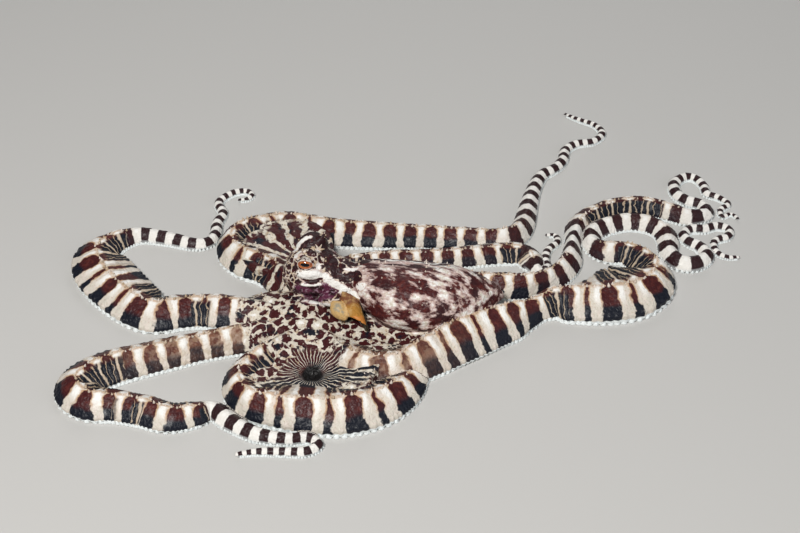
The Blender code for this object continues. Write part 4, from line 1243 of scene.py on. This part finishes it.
def head_colour(g):
    """A pale speckled head."""
    bent = g.warped(2.0, 2.2)
    net = 1.0 - g.ramp(g.cells(3.2, bent), 0.04, 0.10)
    patch = g.ramp(g.noise(2.0, 3.0) + (g.noise(7.0) - 0.5) * 0.4, 0.55, 0.61)
    pale = g.math("MAXIMUM", net, patch)
    pales = g.mix(g.spots(1.0, 0.4, 0.6, 3.0), SAND, FLESH)
    return g.mix(pale, g.mix(g.spots(2.5, 0.4, 0.6), NIGHT, MAROON), pales)


def face_colour(g, colour):
    """The dark, plum and white marks of the face over what lies under them."""
    pale, plum, night = g.parts("face")
    ragged = (g.noise(1.3, 3.0) - 0.5) * 0.5
    patch = g.mix(g.spots(2.2, 0.45, 0.6, 2.0), PLUM, NIGHT)
    patch = g.mix(g.spots(0.9, 0.54, 0.66, 3.0) * 0.7, patch, LILAC)
    colour = g.mix(g.ramp(plum + ragged, -0.1, 0.1), colour, patch)
    dark = g.mix(g.spots(1.2, 0.5, 0.7), NIGHT, MAROON)
    colour = g.mix(g.ramp(night + ragged * 0.5, -0.06, 0.06), colour, dark)
    rosy = g.mix(0.5, ROSE, FLESH)
    whites = g.mix(g.ramp(pale + (g.noise(1.2) - 0.5) * 0.3, 0.04, 0.22), rosy, WHITE)
    specks = g.spots(0.9, 0.55, 0.62, 3.0) * (1.0 - g.ramp(pale, 0.20, 0.42))
    return g.mix(g.ramp(pale + ragged * 0.9, -0.06, 0.06) * (1.0 - specks), colour, whites)


def skin_material():
    """The colours of arms, web, mantle, head, face and funnel, each over the one before."""
    g = Graph("octopus_skin")
    web, mantle, head = g.parts("zone")
    _, funnel, part = g.parts("extra")
    ragged = (g.noise(1.5, 3.0) - 0.5) * 0.5
    colour = g.mix(g.ramp(web + ragged, 0.4, 0.6), arm_colour(g), web_colour(g))
    colour = g.mix(g.ramp(mantle, 0.35, 0.65), colour, mantle_colour(g))
    colour = g.mix(g.ramp(head + ragged + (g.noise(3.5) - 0.5) * 1.4, 0.42, 0.58), colour, head_colour(g))
    colour = face_colour(g, colour)
    # The funnel darkens towards its root, its bore is painted near-black as shade, and its lip is orange;
    # two and more is its lobe.
    place = g.parts("tone")[2] + (g.noise(1.6, 3.0) - 0.5) * 0.3
    gold = g.mix(g.ramp(place, 0.30, 0.62), UMBER, GOLD)
    gold = g.mix(g.spots(2.6, 0.50, 0.66, 3.0) * 0.6, gold, PALE_GOLD)
    gold = g.mix(g.ramp(place, 0.90, 0.98), gold, RIM_ORANGE)
    # Painted shade: the bore is near-black.
    gold = g.mix(g.ramp(-1.0 * place, 0.2, 0.5), gold, BORE_SHADE)
    lobe = g.mix(g.spots(1.8, 0.4, 0.6, 3.0), OLIVE_GREY, PALE_GOLD)
    lobe = g.mix(g.ramp(place, 2.45, 2.85), lobe, GOLD_EDGE)
    gold = g.mix(g.ramp(place, 1.4, 1.6), gold, lobe)
    colour = g.mix(g.ramp(funnel, 0.4, 0.6), colour, gold)
    # The pieces that were added to the fused skin.
    is_papilla = g.ramp(part, 1.5, 1.6) * (1.0 - g.ramp(part, 2.4, 2.5))
    is_sucker = g.ramp(part, 0.5, 0.6) * (1.0 - g.ramp(part, 1.4, 1.5))
    is_lid = g.ramp(part, 2.5, 2.6)
    colour = g.mix(is_papilla, colour, g.mix(g.spots(6.0, 0.4, 0.6), SAND, FLESH))
    colour = g.mix(is_sucker, colour, RIM_WHITE)
    lid = g.mix(g.spots(1.2, 0.42, 0.52, 3.0), MAROON, g.mix(0.4, FLESH, GREY))
    colour = g.mix(is_lid, colour, lid)
    colour = g.mix(is_lid * g.ramp(g.parts("tone")[1], 0.4, 0.6), colour, LID_ORANGE)
    g.feed(g.shader.inputs["Base Color"], colour)
    g.feed(g.shader.inputs["Roughness"], 0.36 + 0.22 * g.noise(1.5, 3.0))
    # A fine grain that is too small for the mesh.
    bump = g.node("ShaderNodeBump")
    bump.inputs["Strength"].default_value = 0.6
    bump.inputs["Distance"].default_value = 0.25 * MM
    grain = g.noise(0.8, 3.0) + 0.7 * g.ramp(g.cells(1.3), 0.0, 0.35)
    g.feed(bump.inputs["Height"], grain)
    g.tree.links.new(bump.outputs[0], g.shader.inputs["Normal"])
    g.shader.inputs["Specular IOR Level"].default_value = 0.25
    g.shader.inputs["Coat Weight"].default_value = 0.05
    g.shader.inputs["Coat Roughness"].default_value = 0.18
    return g.material


# Half the height of the pupil's slit, and how fast it narrows outwards, on an eye of radius one.
SLIT_HALF = 0.21
SLIT_TAPER = 1.9


def eye_material():
    """An orange iris with a level black slit."""
    g = Graph("octopus_eye")
    level, rise, _ = g.parts("iris")
    reach = g.math("SQRT", level * level + rise * rise)
    streaks = g.noise(0.5, 3.0)
    iris = g.mix(g.ramp(streaks, 0.4, 0.65), IRIS_BROWN, IRIS_ORANGE)
    iris = g.mix(g.ramp(reach, 0.55, 0.8), iris, IRIS_EDGE)
    taper = SLIT_TAPER * g.math("POWER", g.math("ABSOLUTE", level), 4.0)
    slit = g.ramp(SLIT_HALF - g.math("ABSOLUTE", rise + 0.02) - taper, -0.02, 0.02)
    g.feed(g.shader.inputs["Base Color"], g.mix(slit, iris, PUPIL))
    g.shader.inputs["Roughness"].default_value = 0.12
    g.shader.inputs["Coat Weight"].default_value = 0.8
    g.shader.inputs["Coat Roughness"].default_value = 0.04
    return g.material


def eye_object(name, centre, look, material):
    shape = ball((0.0, 0.0, 0.0), (EYE_RADIUS,) * 3, 64)
    mesh = mesh_from(name, shape.points + np.asarray(centre), shape.faces)
    axis, across, upward = axes_about(look)
    ways = unit(shape.points)
    iris = np.stack([ways @ across, ways @ upward, ways @ axis], 1)
    write_vectors(mesh, "iris", iris)
    mesh.shade_smooth()
    mesh.materials.append(material)
    return placed(name, mesh)


FLESH_NODES = [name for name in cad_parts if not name.startswith("eye_")]

# The skin takes the place of every solid but the eyes.
skin = skin_object()
skin.data.materials.append(skin_material())
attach(skin, "root")
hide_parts(*FLESH_NODES)

iris_material = eye_material()
for node, (centre, look, *_) in EYES.items():
    eye = eye_object(node + "_ball", centre, look, iris_material)
    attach(eye, "root")
    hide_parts(node)


# From here on, lengths are in metres.
FLOOR_COLOUR = (0.58, 0.57, 0.55, 1.0)
FLOOR_HALF = 3.0
SKY_COLOUR = (0.92, 0.95, 1.0, 1.0)
SKY_STRENGTH = 0.12
# Each light: place, size, power and colour. All of them face the octopus.
LIGHTS = {
    "key": ((-0.22, -0.50, 0.70), 0.16, 6.2, (1.0, 0.985, 0.96)),
    "fill": ((0.65, -0.30, 0.45), 0.6, 1.3, (0.94, 0.97, 1.0)),
    "back": ((0.05, 0.70, 0.55), 0.5, 1.5, (1.0, 1.0, 1.0)),
}
# The camera looks down at the photo's angle, from where the photo's framing and scale agree.
CAMERA_PLACE = (-0.00431, -0.4175, 0.34968)
CAMERA_TILT = math.radians(50.0)
CAMERA_LENS = 72.0
CAMERA_SENSOR = 36.0


def floor_object():
    mesh = bpy.data.meshes.new("floor")
    half = FLOOR_HALF
    corners = [(-half, -half, 0), (half, -half, 0), (half, half, 0), (-half, half, 0)]
    mesh.from_pydata(corners, [], [(0, 1, 2, 3)])
    material = bpy.data.materials.new("pale_floor")
    material.use_nodes = True
    shader = material.node_tree.nodes["Principled BSDF"]
    shader.inputs["Base Color"].default_value = FLOOR_COLOUR
    shader.inputs["Roughness"].default_value = 0.75
    mesh.materials.append(material)
    return placed("floor", mesh)


def area_light(name, place, size, power, colour):
    light = bpy.data.lights.new(name, "AREA")
    light.size = size
    light.energy = power
    light.color = colour
    item = placed(name, light)
    item.location = place
    item.rotation_euler = (-Vector(place)).to_track_quat("-Z", "Y").to_euler()


floor_object()
for name, settings in LIGHTS.items():
    area_light(name, *settings)
world = bpy.data.worlds.new("studio")
world.use_nodes = True
world.node_tree.nodes["Background"].inputs["Color"].default_value = SKY_COLOUR
world.node_tree.nodes["Background"].inputs["Strength"].default_value = SKY_STRENGTH
bpy.context.scene.world = world
bpy.context.scene.view_settings.view_transform = "Standard"

camera_data = bpy.data.cameras.new("camera")
camera_data.lens = CAMERA_LENS
camera_data.sensor_width = CAMERA_SENSOR
camera_data.clip_start = 0.01
camera = placed("camera", camera_data)
camera.location = CAMERA_PLACE
camera.rotation_euler = (CAMERA_TILT, 0.0, 0.0)
bpy.context.scene.camera = camera
